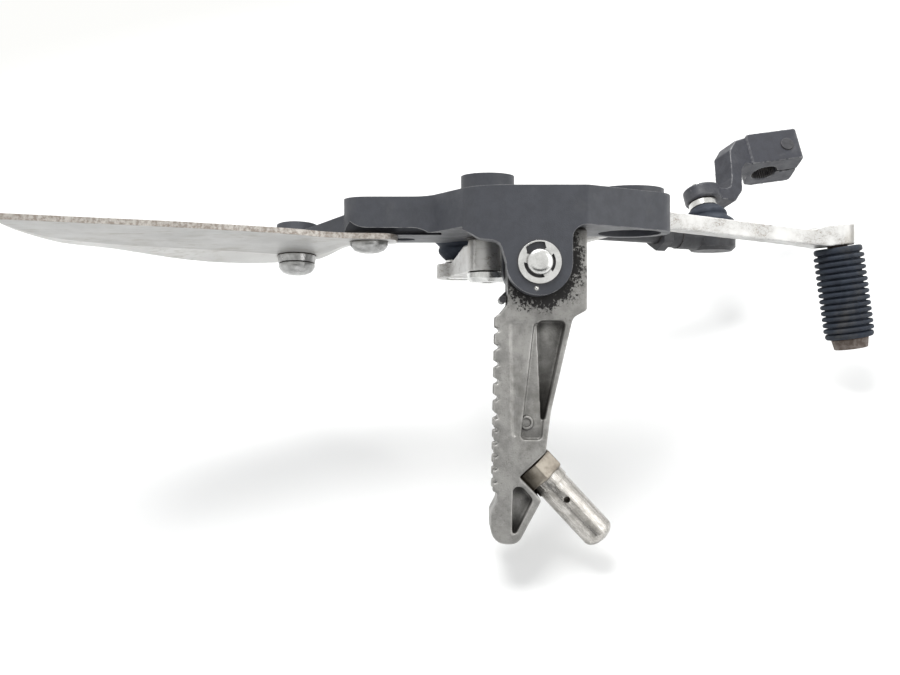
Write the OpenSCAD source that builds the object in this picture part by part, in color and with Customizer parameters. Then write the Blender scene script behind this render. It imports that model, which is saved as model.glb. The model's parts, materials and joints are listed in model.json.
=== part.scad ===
// Left-hand rear set for a motorbike: frame hanger with folding footrest, heel guard, gear lever and shift linkage.
// The frame plane is horizontal: -X points up the bike, +Y points forward and +Z points at the frame.
// The origin is the centre of the lower frame bolt on its mounting face.

/* [Hanger] */
// Thickness of the cast hanger plate
plate_t = 13; // [11:0.5:15]
// Height of the lower frame boss above the plate
frame_boss_h = 2.3; // [1:0.1:4]
// Radius of the lower frame boss
frame_boss_r = 12; // [11:0.1:13]
// Outer radius of the ring around the lower frame bolt
ring_r = 14; // [13:0.1:15]
// Diameter of the counterbore for the lower bolt head
counterbore_d = 22; // [18:0.5:24]
// Depth of that counterbore
counterbore_h = 8; // [5:0.5:9]
// Diameter of the lower frame bolt hole
lower_hole_d = 10.5; // [9:0.1:12]
// Diameter of the upper frame bolt hole
upper_hole_d = 8.5; // [8:0.1:10]
// Radius of the lobe around the upper frame bolt
upper_lobe_r = 12; // [11:0.5:14]
// Upper frame bolt position behind the lower one
upper_x = -80; // [-84:1:-78]
// Upper frame bolt position forward of the lower one
upper_y = 20; // [18:1:22]

/* [Clevis] */
// Thickness of each clevis ear
ear_t = 8; // [7:0.5:9]
// Radius of the ear lobe around the footrest pin
ear_r = 10.9; // [10:0.1:12]
// Gap between the two ears
clevis_gap = 20; // [18:0.5:22]
// Diameter of the footrest pin
pin_d = 8; // [7:0.1:9]
// Radial running clearance of pins and pivots
run_gap = 0.05; // [0.02:0.01:0.09]
// Drop from the plate's outer face to the pin
pin_drop = 12.4; // [12:0.2:14]
// Pin position above the lower frame bolt
pin_x = -33.7; // [-36:0.5:-32]

/* [Footrest] */
// Side play of the footrest in the clevis, each side
peg_play = 0.3; // [0.2:0.1:0.6]
// Length of the footrest below the pin
peg_len = 93.3; // [85:0.1:105]
// Reach of the block towards the tread side
block_up = 10; // [9.5:0.1:10.5]
// Reach of the block towards the road side
block_down = 16.5; // [15.5:0.1:17]
// Drop of the block's lower face below the pin
block_drop = 15.3; // [15:0.1:16]
// Thickness of the central web
web_t = 6; // [4:0.5:9]
// Height of each tread tooth
tooth_h = 1.5; // [1:0.1:2.5]

/* [Bank feeler] */
// Diameter of the feeler's shank
feeler_d = 11.2; // [9:0.1:11.6]
// Length of the feeler beyond its seat
feeler_len = 29.6; // [22:0.1:34]
// Angle of the feeler below the road side
feeler_angle = 47; // [42:1:52]
// Width across flats of its hexagon
feeler_flats = 11; // [10:0.5:12]

/* [Gear lever] */
// Pivot position above the lower frame bolt
pivot_x = -49.3; // [-50:0.1:-49]
// Pivot position forward of the lower frame bolt
pivot_y = 15; // [15:0.1:16]
// Radius of the lever's pivot boss
lever_boss_r = 7.1; // [7:0.1:7.5]
// Height of the lever's pivot boss
lever_boss_h = 12; // [11:0.1:13]
// Diameter of the pivot bolt's shoulder
shoulder_d = 9; // [8:0.1:9.5]
// Distance from the pivot to the toe pin
lever_len = 152; // [145:0.5:160]
// Angle of the lever forward of the bike's up-down line
lever_angle = 18.8; // [17:0.1:21]
// Width of the lever's arm
lever_w = 9; // [8:0.1:10]
// Length of the toe rubber
toe_rubber_l = 37; // [32:0.5:42]
// Diameter of the toe rubber over its ribs
toe_rubber_d = 19.8; // [18:0.1:22]
// Number of ribs on the toe rubber
toe_ribs = 13; // [9:1:15]
// Lean of the toe pin away from the hanger
toe_lean = 8.8; // [6:0.2:10]

/* [Shift linkage] */
// Reach of the short arm forward of the pivot
short_reach = 32; // [31:0.5:34]
// Offset of the short arm's eye behind the pivot
short_back = 9.4; // [8:0.2:11]
// Distance between the two ball centres
link_len = 126.8; // [120:0.1:132]
// Angle of the link rod forward of the bike's up-down line
link_angle = 28.2; // [27:0.1:30]
// Diameter of the link rod
rod_d = 8; // [6:0.5:9]
// Radius of each ball joint's housing
ball_case_r = 10.5; // [10:0.1:12]
// Diameter of the balls
ball_d = 10; // [9:0.5:11]
// Roll of the front ball joint about the rod
front_roll = 20; // [15:1:25]
// Distance from the front ball to the shift shaft
arm_len = 48; // [42:0.5:52]
// Diameter of the shift shaft's bore
shaft_d = 12.4; // [11:0.1:13]

/* [Heel guard] */
// Thickness of the guard's sheet
guard_t = 2; // [1.5:0.1:2.5]
// Slope of the guard towards the front
guard_tilt = 7.3; // [5:0.1:9]
// Length of the guard beyond its rear screw
guard_len = 118; // [100:1:130]

/* [Hidden] */
$fn = 48;

arc_step = 12;
eps = 0.02;

plate_top = -frame_boss_h;
plate_low = plate_top - plate_t;
pin_z = plate_low - pin_drop;
near_y = -clevis_gap - ear_t;
pin_r = pin_d / 2;
clip_r = 7.1;
clip_t = 1;
clip_gap = 0.1;
ear_hole_r = pin_r + run_gap;
guard1 = [upper_x - 12, 8.5];
guard2 = [upper_x - 41, 32];
guard_end_r = 9;
guard_screw_r = 3;
guard_boss_r = 7.8;
guard_head_r = 6.8;
guard_head_h = 4.2;
guard_drop = 0.8;
pivot = [pivot_x, pivot_y];
pivot_lobe_r = 11;
pivot_boss_r = 9.7;
pivot_boss_top = 7.1;
washer_t = 0.6;
flange_r = 7.6;
flange_h = 3.6;
lever_top = plate_low - washer_t;
lever_low = lever_top - lever_boss_h;
thread_r = 4;
edge = 2;

function unit(v) = v / norm(v);
function flat2(p) = [p[0], p[1]];
function wrap(d) = d > 180 ? d - 360 : d < -180 ? d + 360 : d;

// One corner of a closed outline, [x, y, radius], as the points of its arc
function corner(a, b, c) =
    let (u = unit(flat2(a) - flat2(b)), w = unit(flat2(c) - flat2(b)))
    let (half = acos(u * w) / 2, middle = flat2(b) + unit(u + w) * b[2] / sin(half))
    let (first = flat2(b) + u * b[2] / tan(half) - middle, last = flat2(b) + w * b[2] / tan(half) - middle)
    let (from = atan2(first[1], first[0]), turn = wrap(atan2(last[1], last[0]) - from))
    let (steps = ceil(abs(turn) / arc_step))
    b[2] == 0 ? [flat2(b)] :
    [for (i = [0:steps]) middle + b[2] * [cos(from + turn * i / steps), sin(from + turn * i / steps)]];

function around(pts, i) = pts[(i + len(pts)) % len(pts)];
function rounded(pts) = [for (i = [0:len(pts) - 1]) each corner(around(pts, i - 1), pts[i], around(pts, i + 1))];

// The same outline drawn in by a distance; its corners run anticlockwise
function inset(pts, by) = [for (i = [0:len(pts) - 1])
    let (b = flat2(pts[i]))
    let (e = unit(b - flat2(around(pts, i - 1))), f = unit(flat2(around(pts, i + 1)) - b))
    let (n = [-e[1], e[0]], m = [-f[1], f[0]], left = e[0] * f[1] - e[1] * f[0] > 0)
    let (p = b + by * (n + m) / (1 + n * m), r = pts[i][2])
    [p[0], p[1], r == 0 ? 0 : left ? max(r - by, 0.05) : r + by]];

// A slab of an outline with a chamfer around both of its faces
module chamfered(pts, h, low, top) {
    full = rounded(pts);
    n = len(full);
    loops = [rounded(inset(pts, low)), full, full, rounded(inset(pts, top))];
    heights = [0, low, h - top, h];
    polyhedron([for (k = [0:3]) each [for (p = loops[k]) [p[0], p[1], heights[k]]]],
        [[for (i = [0:n - 1]) i], [for (i = [n - 1:-1:0]) 3 * n + i],
         for (k = [0:2], i = [0:n - 1]) [k * n + i, (k + 1) * n + i, (k + 1) * n + (i + 1) % n, k * n + (i + 1) % n]]);
}

// A slab whose outline stands in the X-Z plane, from y0 forward by t
module upright(y0, t) translate([0, y0 + t, 0]) rotate([90, 0, 0]) linear_extrude(t) children();

// A round wire along a route, with square-cut ends
function side_of(t) = unit(cross(t, abs(t[2]) > 0.9 ? [1, 0, 0] : [0, 0, 1]));
module wire(route, r, sides) {
    n = len(route);
    tangents = [for (i = [0:n - 1]) unit(route[min(i + 1, n - 1)] - route[max(i - 1, 0)])];
    polyhedron([for (i = [0:n - 1]) let (s = side_of(tangents[i]), q = cross(tangents[i], s))
        each [for (j = [0:sides - 1]) route[i] + r * (cos(360 * j / sides) * s + sin(360 * j / sides) * q)]],
        [[for (j = [sides - 1:-1:0]) j], [for (j = [0:sides - 1]) (n - 1) * sides + j],
         for (i = [0:n - 2], j = [0:sides - 1]) let (k = (j + 1) % sides)
            [i * sides + j, i * sides + k, (i + 1) * sides + k, (i + 1) * sides + j]]);
}

// Hanger

plate_corners = [
    [ring_r, -7.6, ring_r - 1], [ring_r, ring_r, ring_r - 0.3], [-3, ring_r, 2], [-9, 9.5, 6],
    [pivot_x + pivot_lobe_r, 9.5, 4], [pivot_x + pivot_lobe_r, pivot_y + pivot_lobe_r, pivot_lobe_r],
    [upper_x + 20, pivot_y + pivot_lobe_r, 5], [upper_x + 15, upper_y + upper_lobe_r, 4],
    [upper_x - upper_lobe_r, upper_y + upper_lobe_r, upper_lobe_r],
    [upper_x - upper_lobe_r, guard1[1] + guard_end_r, 2],
    [guard1[0] - guard_end_r, guard1[1] + guard_end_r, guard_end_r - 2.6],
    [guard1[0] - guard_end_r, guard1[1] - guard_end_r, guard_end_r - 0.2],
    [-71, guard1[1] - guard_end_r, 10], [-54, near_y, 16], [-17.5, near_y, 3]];

near_ear_corners = [
    [pin_x - ear_r, pin_z, 0], [pin_x + ear_r, pin_z, 0], [pin_x + ear_r, plate_low, 4.5],
    [-16, plate_low, 0], [-16, plate_low + 4, 0], [-66, plate_low + 4, 0], [-66, plate_low, 0],
    [-60, plate_low, 2.5], [-53.5, -19.6, 3], [pin_x - ear_r - 2, -20.8, 3]];

far_ear_corners = [
    [pin_x - ear_r, pin_z, 0], [pin_x + ear_r, pin_z, 0], [pin_x + ear_r, plate_low, 3],
    [pin_x + ear_r + 4, plate_low, 0], [pin_x + ear_r + 4, plate_low + 4, 0],
    [pin_x - ear_r - 3.4, plate_low + 4, 0], [pin_x - ear_r - 3.4, plate_low, 0], [pin_x - ear_r, plate_low, 3]];

module ear_lobe(y0) translate([pin_x, y0 + ear_t, pin_z]) rotate([90, 0, 0]) cylinder(r = ear_r, h = ear_t);

// Distance and direction from the first guard screw to the second
guard_reach = norm(guard2 - guard1);
guard_turn = atan2(guard2[1] - guard1[1], guard2[0] - guard1[0]);
guard_slope = tan(guard_tilt);
guard2_z = plate_low - guard_drop - guard_slope * (guard2[1] - guard1[1]);
arm_w = 12;

module guard_arm() translate([guard1[0], guard1[1], 0]) rotate([0, 0, guard_turn]) rotate([90, 0, 0])
    linear_extrude(arm_w, center = true) polygon([[-2, plate_top - 3], [7, plate_top - 5.5],
        [guard_reach - 6, guard2_z + 6.8], [guard_reach, guard2_z + 6], [guard_reach, guard2_z + 0.6],
        [guard_reach - 7, guard2_z + 1.2], [20, plate_low + 0.3], [-2, plate_low + 0.3]]);

module at_guard2() translate([guard2[0], guard2[1], guard2_z]) rotate([-guard_tilt, 0, 0]) children();

module hanger_bracket() color([0.33, 0.34, 0.36]) difference() {
    union() {
        translate([0, 0, plate_low]) linear_extrude(plate_t) polygon(rounded(plate_corners));
        translate([0, 0, plate_top - 1]) cylinder(r = frame_boss_r, h = frame_boss_h + 1);
        translate([pivot[0], pivot[1], plate_top - 1]) cylinder(r = pivot_boss_r, h = pivot_boss_top - plate_top + 1);
        intersection() {
            upright(near_y, ear_t) polygon(rounded(near_ear_corners));
            translate([0, 0, pin_z]) linear_extrude(-pin_z) polygon(rounded(plate_corners));
        }
        ear_lobe(near_y);
        upright(0, ear_t) polygon(rounded(far_ear_corners));
        ear_lobe(0);
        guard_arm();
        at_guard2() cylinder(r = guard_boss_r, h = 10.4);
    }
    translate([-112, guard1[1] - guard_end_r, plate_low]) rotate([45, 0, 0]) translate([0, -5, -5 + edge * 0.7])
        cube([46, 10, 5]);
    translate([0, 0, plate_low - 1]) cylinder(d = lower_hole_d, h = plate_t + frame_boss_h + 2);
    translate([0, 0, plate_low - 1]) cylinder(d = counterbore_d, h = counterbore_h + 1);
    translate([upper_x, upper_y, plate_low - 1]) cylinder(d = upper_hole_d, h = plate_t + frame_boss_h + 2);
    translate([pivot[0], pivot[1], plate_low - 1]) cylinder(r = thread_r + 0.1, h = plate_t + 4);
    translate([pin_x, ear_t + 1, pin_z]) rotate([90, 0, 0]) cylinder(r = ear_hole_r, h = clevis_gap + 2 * ear_t + 2);
    translate([pin_x + spring_eye[0], ear_t - 1.5, pin_z + spring_eye[1]]) rotate([90, 0, 0])
        cylinder(r = spring_wire_r + 0.2, h = ear_t);
    translate([pin_x - 1, near_y + 1.2, pin_z - 8.6]) rotate([90, 0, 0]) cylinder(r = 0.8, h = 2);
    translate([guard1[0], guard1[1], plate_low - 1]) cylinder(r = guard_screw_r + 0.1, h = 10.2);
    at_guard2() translate([0, 0, -1]) cylinder(r = guard_screw_r + 0.1, h = 10);
}

// Heel guard

// Stations along the guard, from its screw end to its tip: near edge x, y and far edge x, y
tip_x = guard1[0] - guard_len;
guard_stations = [
    [guard1[0] + 10, 4, 14], [guard1[0] + 7, -0.6, 18], [guard1[0] - 5, -2.5, 21], [guard1[0] - 17, -6, 35],
    [guard1[0] - 29, -11, 40], [guard1[0] - 49, -17.5, 42], [guard1[0] - 70, -23.5, 38],
    [tip_x + 25, -29, 17], [tip_x + 9, -33, 2], [tip_x + 1.5, -34.5, -16], [tip_x, -33, -27]];
guard_steps = 3;
guard_rows = 8;
flange_w = 11;
flange_slope = 0.3;

function spline(a, b, c, d, t) = 0.5 * (2 * b + (c - a) * t + (2 * a - 5 * b + 4 * c - d) * t * t
    + (3 * b - a - 3 * c + d) * t * t * t);
function ease(t) = let (c = max(0, min(1, t))) c * c * (3 - 2 * c);
function station(k, t) = let (s = guard_stations, last = len(s) - 1)
    spline(s[max(k - 1, 0)], s[k], s[min(k + 1, last)], s[min(k + 2, last)], t);

// Height of the guard's inner face, with its step near the first screw and its bent front edge
function guard_z(x, y, to_edge) =
    let (away = ease((guard1[0] - 8 - x) / 14), bend = max(0, flange_w - to_edge) * ease((guard1[0] - 36 - x) / 20))
    plate_low - away * (guard_drop + guard_slope * (y - guard1[1])) - flange_slope * bend * bend / flange_w;
guard_grid = [for (k = [0:len(guard_stations) - 2], i = [0:guard_steps - 1]) station(k, i / guard_steps)];
guard_lines = concat(guard_grid, [guard_stations[len(guard_stations) - 1]]);

module guard_sheet() {
    n = len(guard_lines);
    m = guard_rows + 1;
    inner = [for (s = guard_lines, j = [0:guard_rows])
        let (y = s[1] + (s[2] - s[1]) * j / guard_rows) [s[0], y, guard_z(s[0], y, s[2] - y)]];
    outer = [for (p = inner) p - [0, 0, guard_t]];
    c = n * m;
    polyhedron(concat(inner, outer), [
        for (i = [0:n - 2], j = [0:m - 2]) let (a = i * m + j) each [[a, a + 1, a + m + 1], [a, a + m + 1, a + m],
            [c + a, c + a + m + 1, c + a + 1], [c + a, c + a + m, c + a + m + 1]],
        for (i = [0:n - 2]) let (a = i * m) [a, a + m, c + a + m, c + a],
        for (i = [0:n - 2]) let (a = i * m + m - 1) [a, c + a, c + a + m, a + m],
        for (j = [0:m - 2]) [j, c + j, c + j + 1, j + 1],
        for (j = [0:m - 2]) let (a = (n - 1) * m + j) [a, a + 1, c + a + 1, c + a]]);
}

module heel_guard() color([0.88, 0.87, 0.85]) difference() {
    guard_sheet();
    translate([guard1[0], guard1[1], plate_low - 8]) cylinder(r = guard_screw_r + 0.3, h = 12);
    at_guard2() translate([0, 0, -8]) cylinder(r = guard_screw_r + 0.3, h = 12);
}

module guard_screw(seat) {
    rotate_extrude() polygon([[0, -seat - guard_head_h], [guard_head_r * 0.6, -seat - guard_head_h],
        [guard_head_r, -seat - 1.2], [guard_head_r, -seat], [guard_screw_r, -seat], [guard_screw_r, 8.4],
        [guard_screw_r - 0.6, 9], [0, 9]]);
}

module heel_guard_screws() color([0.8, 0.8, 0.8]) {
    translate([guard1[0], guard1[1], plate_low]) guard_screw(guard_t + 0.02);
    at_guard2() guard_screw(guard_t + 0.25);
}

// Footrest

peg_y = -clevis_gap + peg_play;
peg_w = clevis_gap - 2 * peg_play;
tip_z = -peg_len;
web_gap = (peg_w - web_t) / 2;

// The tread rail leans out towards the tip
rail_top = [-block_up - 2.4, -block_drop - 0.7];
rail_end = [-block_up - 3.6, tip_z + 14.2];
bulb_x = rail_end[0] - 2.1;
function rail_at(z) = rail_top[0] + (rail_end[0] - rail_top[0]) * (rail_top[1] - z) / (rail_top[1] - rail_end[1]);

peg_corners = [
    [block_down, -block_drop, 1.2], [block_down, pin_drop - 0.2, 1.2], [7, pin_drop - 0.2, 3],
    [2.6, block_up, 2], [-block_up, block_up, block_up - 0.6], [-block_up, rail_top[1] + 2.8, 1.2],
    [rail_top[0], rail_top[1], 1], [rail_end[0], rail_end[1], 2], [bulb_x, tip_z + 10.2, 2], [bulb_x, tip_z, 5],
    [-6.7, tip_z, 4], [1.2, tip_z + 14.6, 1.2], [-6.2, tip_z + 22.3, 0], [2.6, tip_z + 30.5, 0.5],
    [4.4, tip_z + 44.3, 25], [block_down - 4.7, -block_drop - 2.6, 3]];

// Side pockets: the deep one beside the road rail, the middle one, the shallow one by the tread and the tip's
pocket_top = -block_drop - 3.5;
deep_pocket = [[-0.2, pocket_top, 2], [9.6, pocket_top, 1.6], [2.4, tip_z + 41.3, 0.5], [1.2, tip_z + 41.3, 0.5]];
middle_pocket = [[-1.2, pocket_top - 0.8, 1.2], [5, pocket_top - 0.8, 1.2], [1.3, tip_z + 34.7, 1.5],
    [-5.8, tip_z + 34.7, 1.5]];
tread_pocket = [[-9.2, pocket_top - 0.6, 0.8], [-3.9, pocket_top - 0.6, 1], [-7.3, tip_z + 35.8, 0.5],
    [-8.6, tip_z + 35.8, 0.4]];
tip_pocket = [[-8.3, tip_z + 19.2, 1.7], [-5.2, tip_z + 19, 1.6], [-1.6, tip_z + 14.8, 1.5], [-7.3, tip_z + 3.6, 0.8],
    [-8.6, tip_z + 3.6, 0.5]];
middle_depth = 2.2;
tread_depth = 1.6;

module peg_pocket(pts, depth) for (y = [peg_y - 1, peg_y + peg_w - depth]) upright(y, depth + 1) polygon(rounded(pts));

upper_teeth = 6;
lower_teeth = 6;
upper_pitch = 5.78;
lower_pitch = 4.25;
first_tooth = -block_drop - 3.6;
first_lower = first_tooth - (upper_teeth - 0.5) * upper_pitch - 0.6 * lower_pitch;
rail_w = 4.6;

module tooth(z, pitch) let (root = rail_at(z)) for (y = [peg_y, peg_y + peg_w - rail_w]) upright(y, rail_w)
    polygon([[root + 0.7, z + pitch * 0.42], [root, z + pitch * 0.42], [root - tooth_h, z + pitch * 0.3],
        [root - tooth_h - 0.1, z - pitch * 0.3], [root, z - pitch * 0.42], [root + 0.7, z - pitch * 0.42]]);

feeler_at = [2.8, tip_z + 22.1];
module at_feeler() translate([pin_x + feeler_at[0], peg_y + peg_w / 2, pin_z + feeler_at[1]])
    rotate([0, 90 + feeler_angle, 0]) children();

module footpeg() color([0.62, 0.6, 0.56]) difference() {
    translate([pin_x, 0, pin_z]) difference() {
        union() {
            upright(peg_y, peg_w) polygon(rounded(peg_corners));
            for (i = [0:upper_teeth - 1]) tooth(first_tooth - i * upper_pitch, upper_pitch);
            for (i = [0:lower_teeth - 1]) tooth(first_lower - i * lower_pitch, lower_pitch);
        }
        translate([0, 1, 0]) rotate([90, 0, 0]) cylinder(r = ear_hole_r, h = clevis_gap + 2);
        translate([0, peg_y + peg_w - spring_room, 0]) rotate([-90, 0, 0]) cylinder(r = spring_r + 1.6, h = spring_room + 1);
        rotate([0, 90 - spring_leg_angle, 0]) translate([-1.5, peg_y + peg_w - spring_room - 0.4, 5])
            cube([3, 3.6, 20]);
        peg_pocket(deep_pocket, web_gap);
        peg_pocket(middle_pocket, middle_depth);
        peg_pocket(tread_pocket, tread_depth);
        peg_pocket(tip_pocket, web_gap);
    }
    at_feeler() translate([0, 0, -14]) cylinder(r = 3.05, h = 12);
}

hex_seat = -6.2;
module peg_feeler() color([0.7, 0.69, 0.66]) at_feeler() difference() {
    union() {
        translate([0, 0, hex_seat - 6.8]) cylinder(r = 3, h = 8);
        translate([0, 0, hex_seat]) cylinder(r = feeler_flats / 2 / cos(30), h = 6.8, $fn = 6);
        translate([0, 0, 0.5]) cylinder(r = feeler_d / 2 + 0.4, h = 3.9);
        translate([0, 0, 4.3]) cylinder(d = feeler_d, h = feeler_len - feeler_d * 0.3 - 4.3);
        translate([0, 0, feeler_len - feeler_d * 0.3 - 0.02]) rotate_extrude() polygon(concat([[0, 0]],
            [for (a = [0:15:75]) feeler_d * [cos(a) / 2, 0.3 * sin(a)]], [[0, feeler_d * 0.3 * sin(75)]]));
    }
    translate([0, 0, 10.6]) rotate([90, 0, 0]) cylinder(r = 1.1, h = feeler_d);
}

module footpeg_pin() color([0.72, 0.71, 0.7]) translate([pin_x, 0, pin_z]) rotate([90, 0, 0]) rotate_extrude()
    polygon([[0, -ear_t - 3], [5, -ear_t - 3], [5.8, -ear_t - 2.2], [5.8, -ear_t - 0.1], [pin_r, -ear_t - 0.1],
        [pin_r, -near_y + clip_gap], [pin_r - 0.8, -near_y + clip_gap], [pin_r - 0.8, -near_y + clip_gap + clip_t + 0.1],
        [pin_r, -near_y + clip_gap + clip_t + 0.1], [pin_r, -near_y + 2.2], [pin_r - 0.9, -near_y + 2.9],
        [0, -near_y + 2.9]]);

module pin_clip() color([0.8, 0.8, 0.8]) translate([pin_x, near_y - clip_gap, pin_z]) rotate([90, 0, 0])
    linear_extrude(clip_t) union() {
        difference() {
            circle(r = clip_r);
            circle(r = clip_r - 1.9);
            rotate(105) intersection() {
                translate([0, -3.2]) square([clip_r, 6.4]);
                circle(r = clip_r - 0.5);
            }
        }
        for (a = [48, 165, 305]) rotate(a) difference() {
            translate([2.5, -1.5]) square([clip_r - 3.5, 3]);
            circle(r = pin_r - 0.75);
        }
    }

spring_wire_r = 1.1;
spring_r = 5.6;
spring_room = 6.6;
spring_leg_angle = 225;
spring_eye = spring_r * [cos(135), sin(135)];
spring_from = -peg_play - spring_wire_r - 0.3;
spring_to = peg_y + peg_w - spring_room + spring_wire_r + 0.5;

// Points of the coil from the fixed leg's eye to where the moving leg leaves
coil_points = 36;
function coil(t) = let (a = 135 + t * (spring_leg_angle - 135 - 360 * 2))
    [spring_r * cos(a), spring_from + (spring_to - spring_from) * t, spring_r * sin(a)];
spring_out = [-block_up - spring_wire_r - 0.5, spring_to, -block_up - spring_wire_r - 0.5];
spring_route = concat([[spring_eye[0], ear_t - 3.5, spring_eye[1]], [spring_eye[0], spring_from + 0.8, spring_eye[1]]],
    [for (i = [1:coil_points]) coil(i / coil_points)], [spring_out, spring_out - [0, 1.6, 0], spring_out - [0, 11.5, 0]]);

module footpeg_spring() color([0.3, 0.3, 0.3]) translate([pin_x, 0, pin_z]) wire(spring_route, spring_wire_r, 8);

// Gear lever

toe_low = 14.2;
toe_top = 5.4;
toe_w = 13;
toe_end = 5.5;

// The lever's side outline: distance along the arm and height
lever_side = [
    [0, lever_low + 0.4, 0], [13, lever_low + 1.7, 4], [34, -17.2, 12], [50, -12.9, 12], [74, -9.6, 20],
    [lever_len - 8, -toe_low, 2], [lever_len + toe_end, -toe_low + 1.3, 1.2], [lever_len + toe_end - 0.3, -toe_top + 0.8, 1.2],
    [lever_len - 8, -toe_top - 0.4, 2], [lever_len - 15, -7.7, 4], [74, -3.2, 20], [58, -3.2, 12], [38, -7.8, 8],
    [20, lever_top - 0.3, 10], [0, lever_top - 0.3, 0]];

// The lever's plan outline, which bows around the lower frame boss
lever_plan = [
    [0, -lever_boss_r + 1.5, 0], [14, -5.4, 8], [40, -lever_w / 2, 20], [lever_len - 20, -lever_w * 0.42, 10],
    [lever_len - 8, -toe_w / 2, 4], [lever_len + toe_end + 0.4, -toe_w / 2, 5], [lever_len + toe_end + 0.4, toe_w / 2, 5],
    [lever_len - 8, toe_w / 2, 4], [lever_len - 20, lever_w * 0.42, 10], [40, lever_w / 2, 20], [14, 5.4, 8],
    [0, lever_boss_r - 1.5, 0]];

// The short arm that holds the rear ball joint
rear_ball = [pivot_x - short_back, pivot_y + short_reach];
short_len = norm([short_back, short_reach]);
short_turn = atan2(short_reach, -short_back);
short_top = -22.3;
short_low = -28;
eye_r = 9.5;
nut_room_r = 6.2;
nut_room_h = 3.3;

module at_pivot(turn) translate([pivot[0], pivot[1], 0]) rotate([0, 0, turn]) children();

module gear_lever() color([0.85, 0.84, 0.82]) difference() {
    union() {
        at_pivot(0) translate([0, 0, lever_low]) cylinder(r = lever_boss_r, h = lever_boss_h);
        at_pivot(lever_angle) intersection() {
            upright(-20, 40) polygon(rounded(lever_side));
            translate([0, 0, -40]) linear_extrude(60) polygon(rounded(lever_plan));
        }
        at_pivot(short_turn) upright(-6.5, 13) polygon(rounded([[0, short_low + 0.3, 0], [short_len, short_low + 0.3, 0],
            [short_len, short_top - 0.3, 0], [short_len - 7.5, short_top - 0.3, 2], [9, lever_top - 1.5, 4],
            [0, lever_top - 1.5, 0]]));
        translate([rear_ball[0], rear_ball[1], short_low]) cylinder(r = eye_r, h = short_top - short_low);
    }
    at_pivot(0) translate([0, 0, lever_low - 1]) cylinder(r = shoulder_d / 2 + bush_wall + 0.02, h = lever_boss_h + 2);
    translate([rear_ball[0], rear_ball[1], short_low - 1]) cylinder(r = stud_r + 0.05, h = 12);
    translate([rear_ball[0], rear_ball[1], short_low - 1]) cylinder(r = nut_room_r, h = nut_room_h + 1);
    at_toe() translate([0, 0, -14]) cylinder(r = toe_pin_r + 0.05, h = 20);
}

bush_wall = 1.2;
module lever_bushes() color([0.6, 0.5, 0.3]) at_pivot(0) for (z = [lever_low, lever_top - 5]) translate([0, 0, z])
    difference() {
        cylinder(r = shoulder_d / 2 + bush_wall, h = 5);
        translate([0, 0, -1]) cylinder(r = shoulder_d / 2 + run_gap, h = 7);
    }

module lever_washer() color([0.2, 0.2, 0.21]) at_pivot(0) translate([0, 0, lever_top]) difference() {
    cylinder(r = lever_boss_r + 0.6, h = washer_t);
    translate([0, 0, -1]) cylinder(r = shoulder_d / 2 + run_gap, h = 3);
}

module lever_pivot_bolt() color([0.75, 0.75, 0.74]) at_pivot(0) difference() {
    rotate_extrude() polygon([[0, lever_low - 0.1 - flange_h], [flange_r - 1.4, lever_low - 0.1 - flange_h],
        [flange_r, lever_low - 0.1 - flange_h * 0.6], [flange_r, lever_low - 0.1], [shoulder_d / 2, lever_low - 0.1],
        [shoulder_d / 2, plate_low - 0.05], [thread_r, plate_low - 0.05], [thread_r, plate_top - 1.6],
        [thread_r - 0.8, plate_top - 0.8], [0, plate_top - 0.8]]);
    translate([0, 0, lever_low - flange_h - 1]) cylinder(r = 3, h = 3.2, $fn = 6);
}

toe_pin_r = 4;
toe_head_r = 7.4;
toe_head_t = 4.2;
toe_seat = -toe_low + 0.6;

module at_toe() at_pivot(lever_angle) translate([lever_len, 0, toe_seat]) rotate([0, -toe_lean, 0]) rotate([180, 0, 0])
    children();

module toe_pin() color([0.5, 0.4, 0.33]) at_toe() union() {
    translate([0, 0, -7]) cylinder(r = toe_pin_r, h = toe_rubber_l + 7.8);
    translate([0, 0, toe_rubber_l + 0.6]) cylinder(r1 = toe_head_r, r2 = toe_head_r - 0.8, h = toe_head_t);
}

rib_pitch = (toe_rubber_l - 5.4) / toe_ribs;
function rib_line(i) = let (z = 3.2 + i * rib_pitch, r = toe_rubber_d / 2)
    [[r - 1.5, z], [r - 0.2, z + rib_pitch * 0.3], [r, z + rib_pitch * 0.5], [r - 0.2, z + rib_pitch * 0.7]];

module toe_rubber() color([0.16, 0.18, 0.21]) at_toe() rotate_extrude() polygon(concat(
    [[toe_pin_r + 0.05, 0.2], [toe_rubber_d / 2 - 1.4, 0.2], [toe_rubber_d / 2 - 0.4, 1.2], [toe_rubber_d / 2 - 0.4, 2.4],
     [toe_rubber_d / 2 - 1.5, 3.1]],
    [for (i = [0:toe_ribs - 1]) each rib_line(i)],
    [[toe_rubber_d / 2 - 1.5, toe_rubber_l - 2.2], [toe_rubber_d / 2 - 0.4, toe_rubber_l - 1.6],
     [toe_rubber_d / 2 - 0.4, toe_rubber_l - 0.4], [toe_rubber_d / 2 - 1.6, toe_rubber_l + 0.5],
     [toe_pin_r + 0.05, toe_rubber_l + 0.5]]));

// Shift linkage

rod_z = -5.4;
case_h = 12;
stud_r = 3;
socket_r = ball_d / 2 + 0.15;
module at_rod() translate([rear_ball[0], rear_ball[1], rod_z]) rotate([0, 0, link_angle]) children();
module at_rear() at_rod() rotate([180, 0, 0]) children();
module at_front() at_rod() translate([link_len, 0, 0]) rotate([-front_roll, 0, 0]) children();

case_tail = 26;

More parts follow.
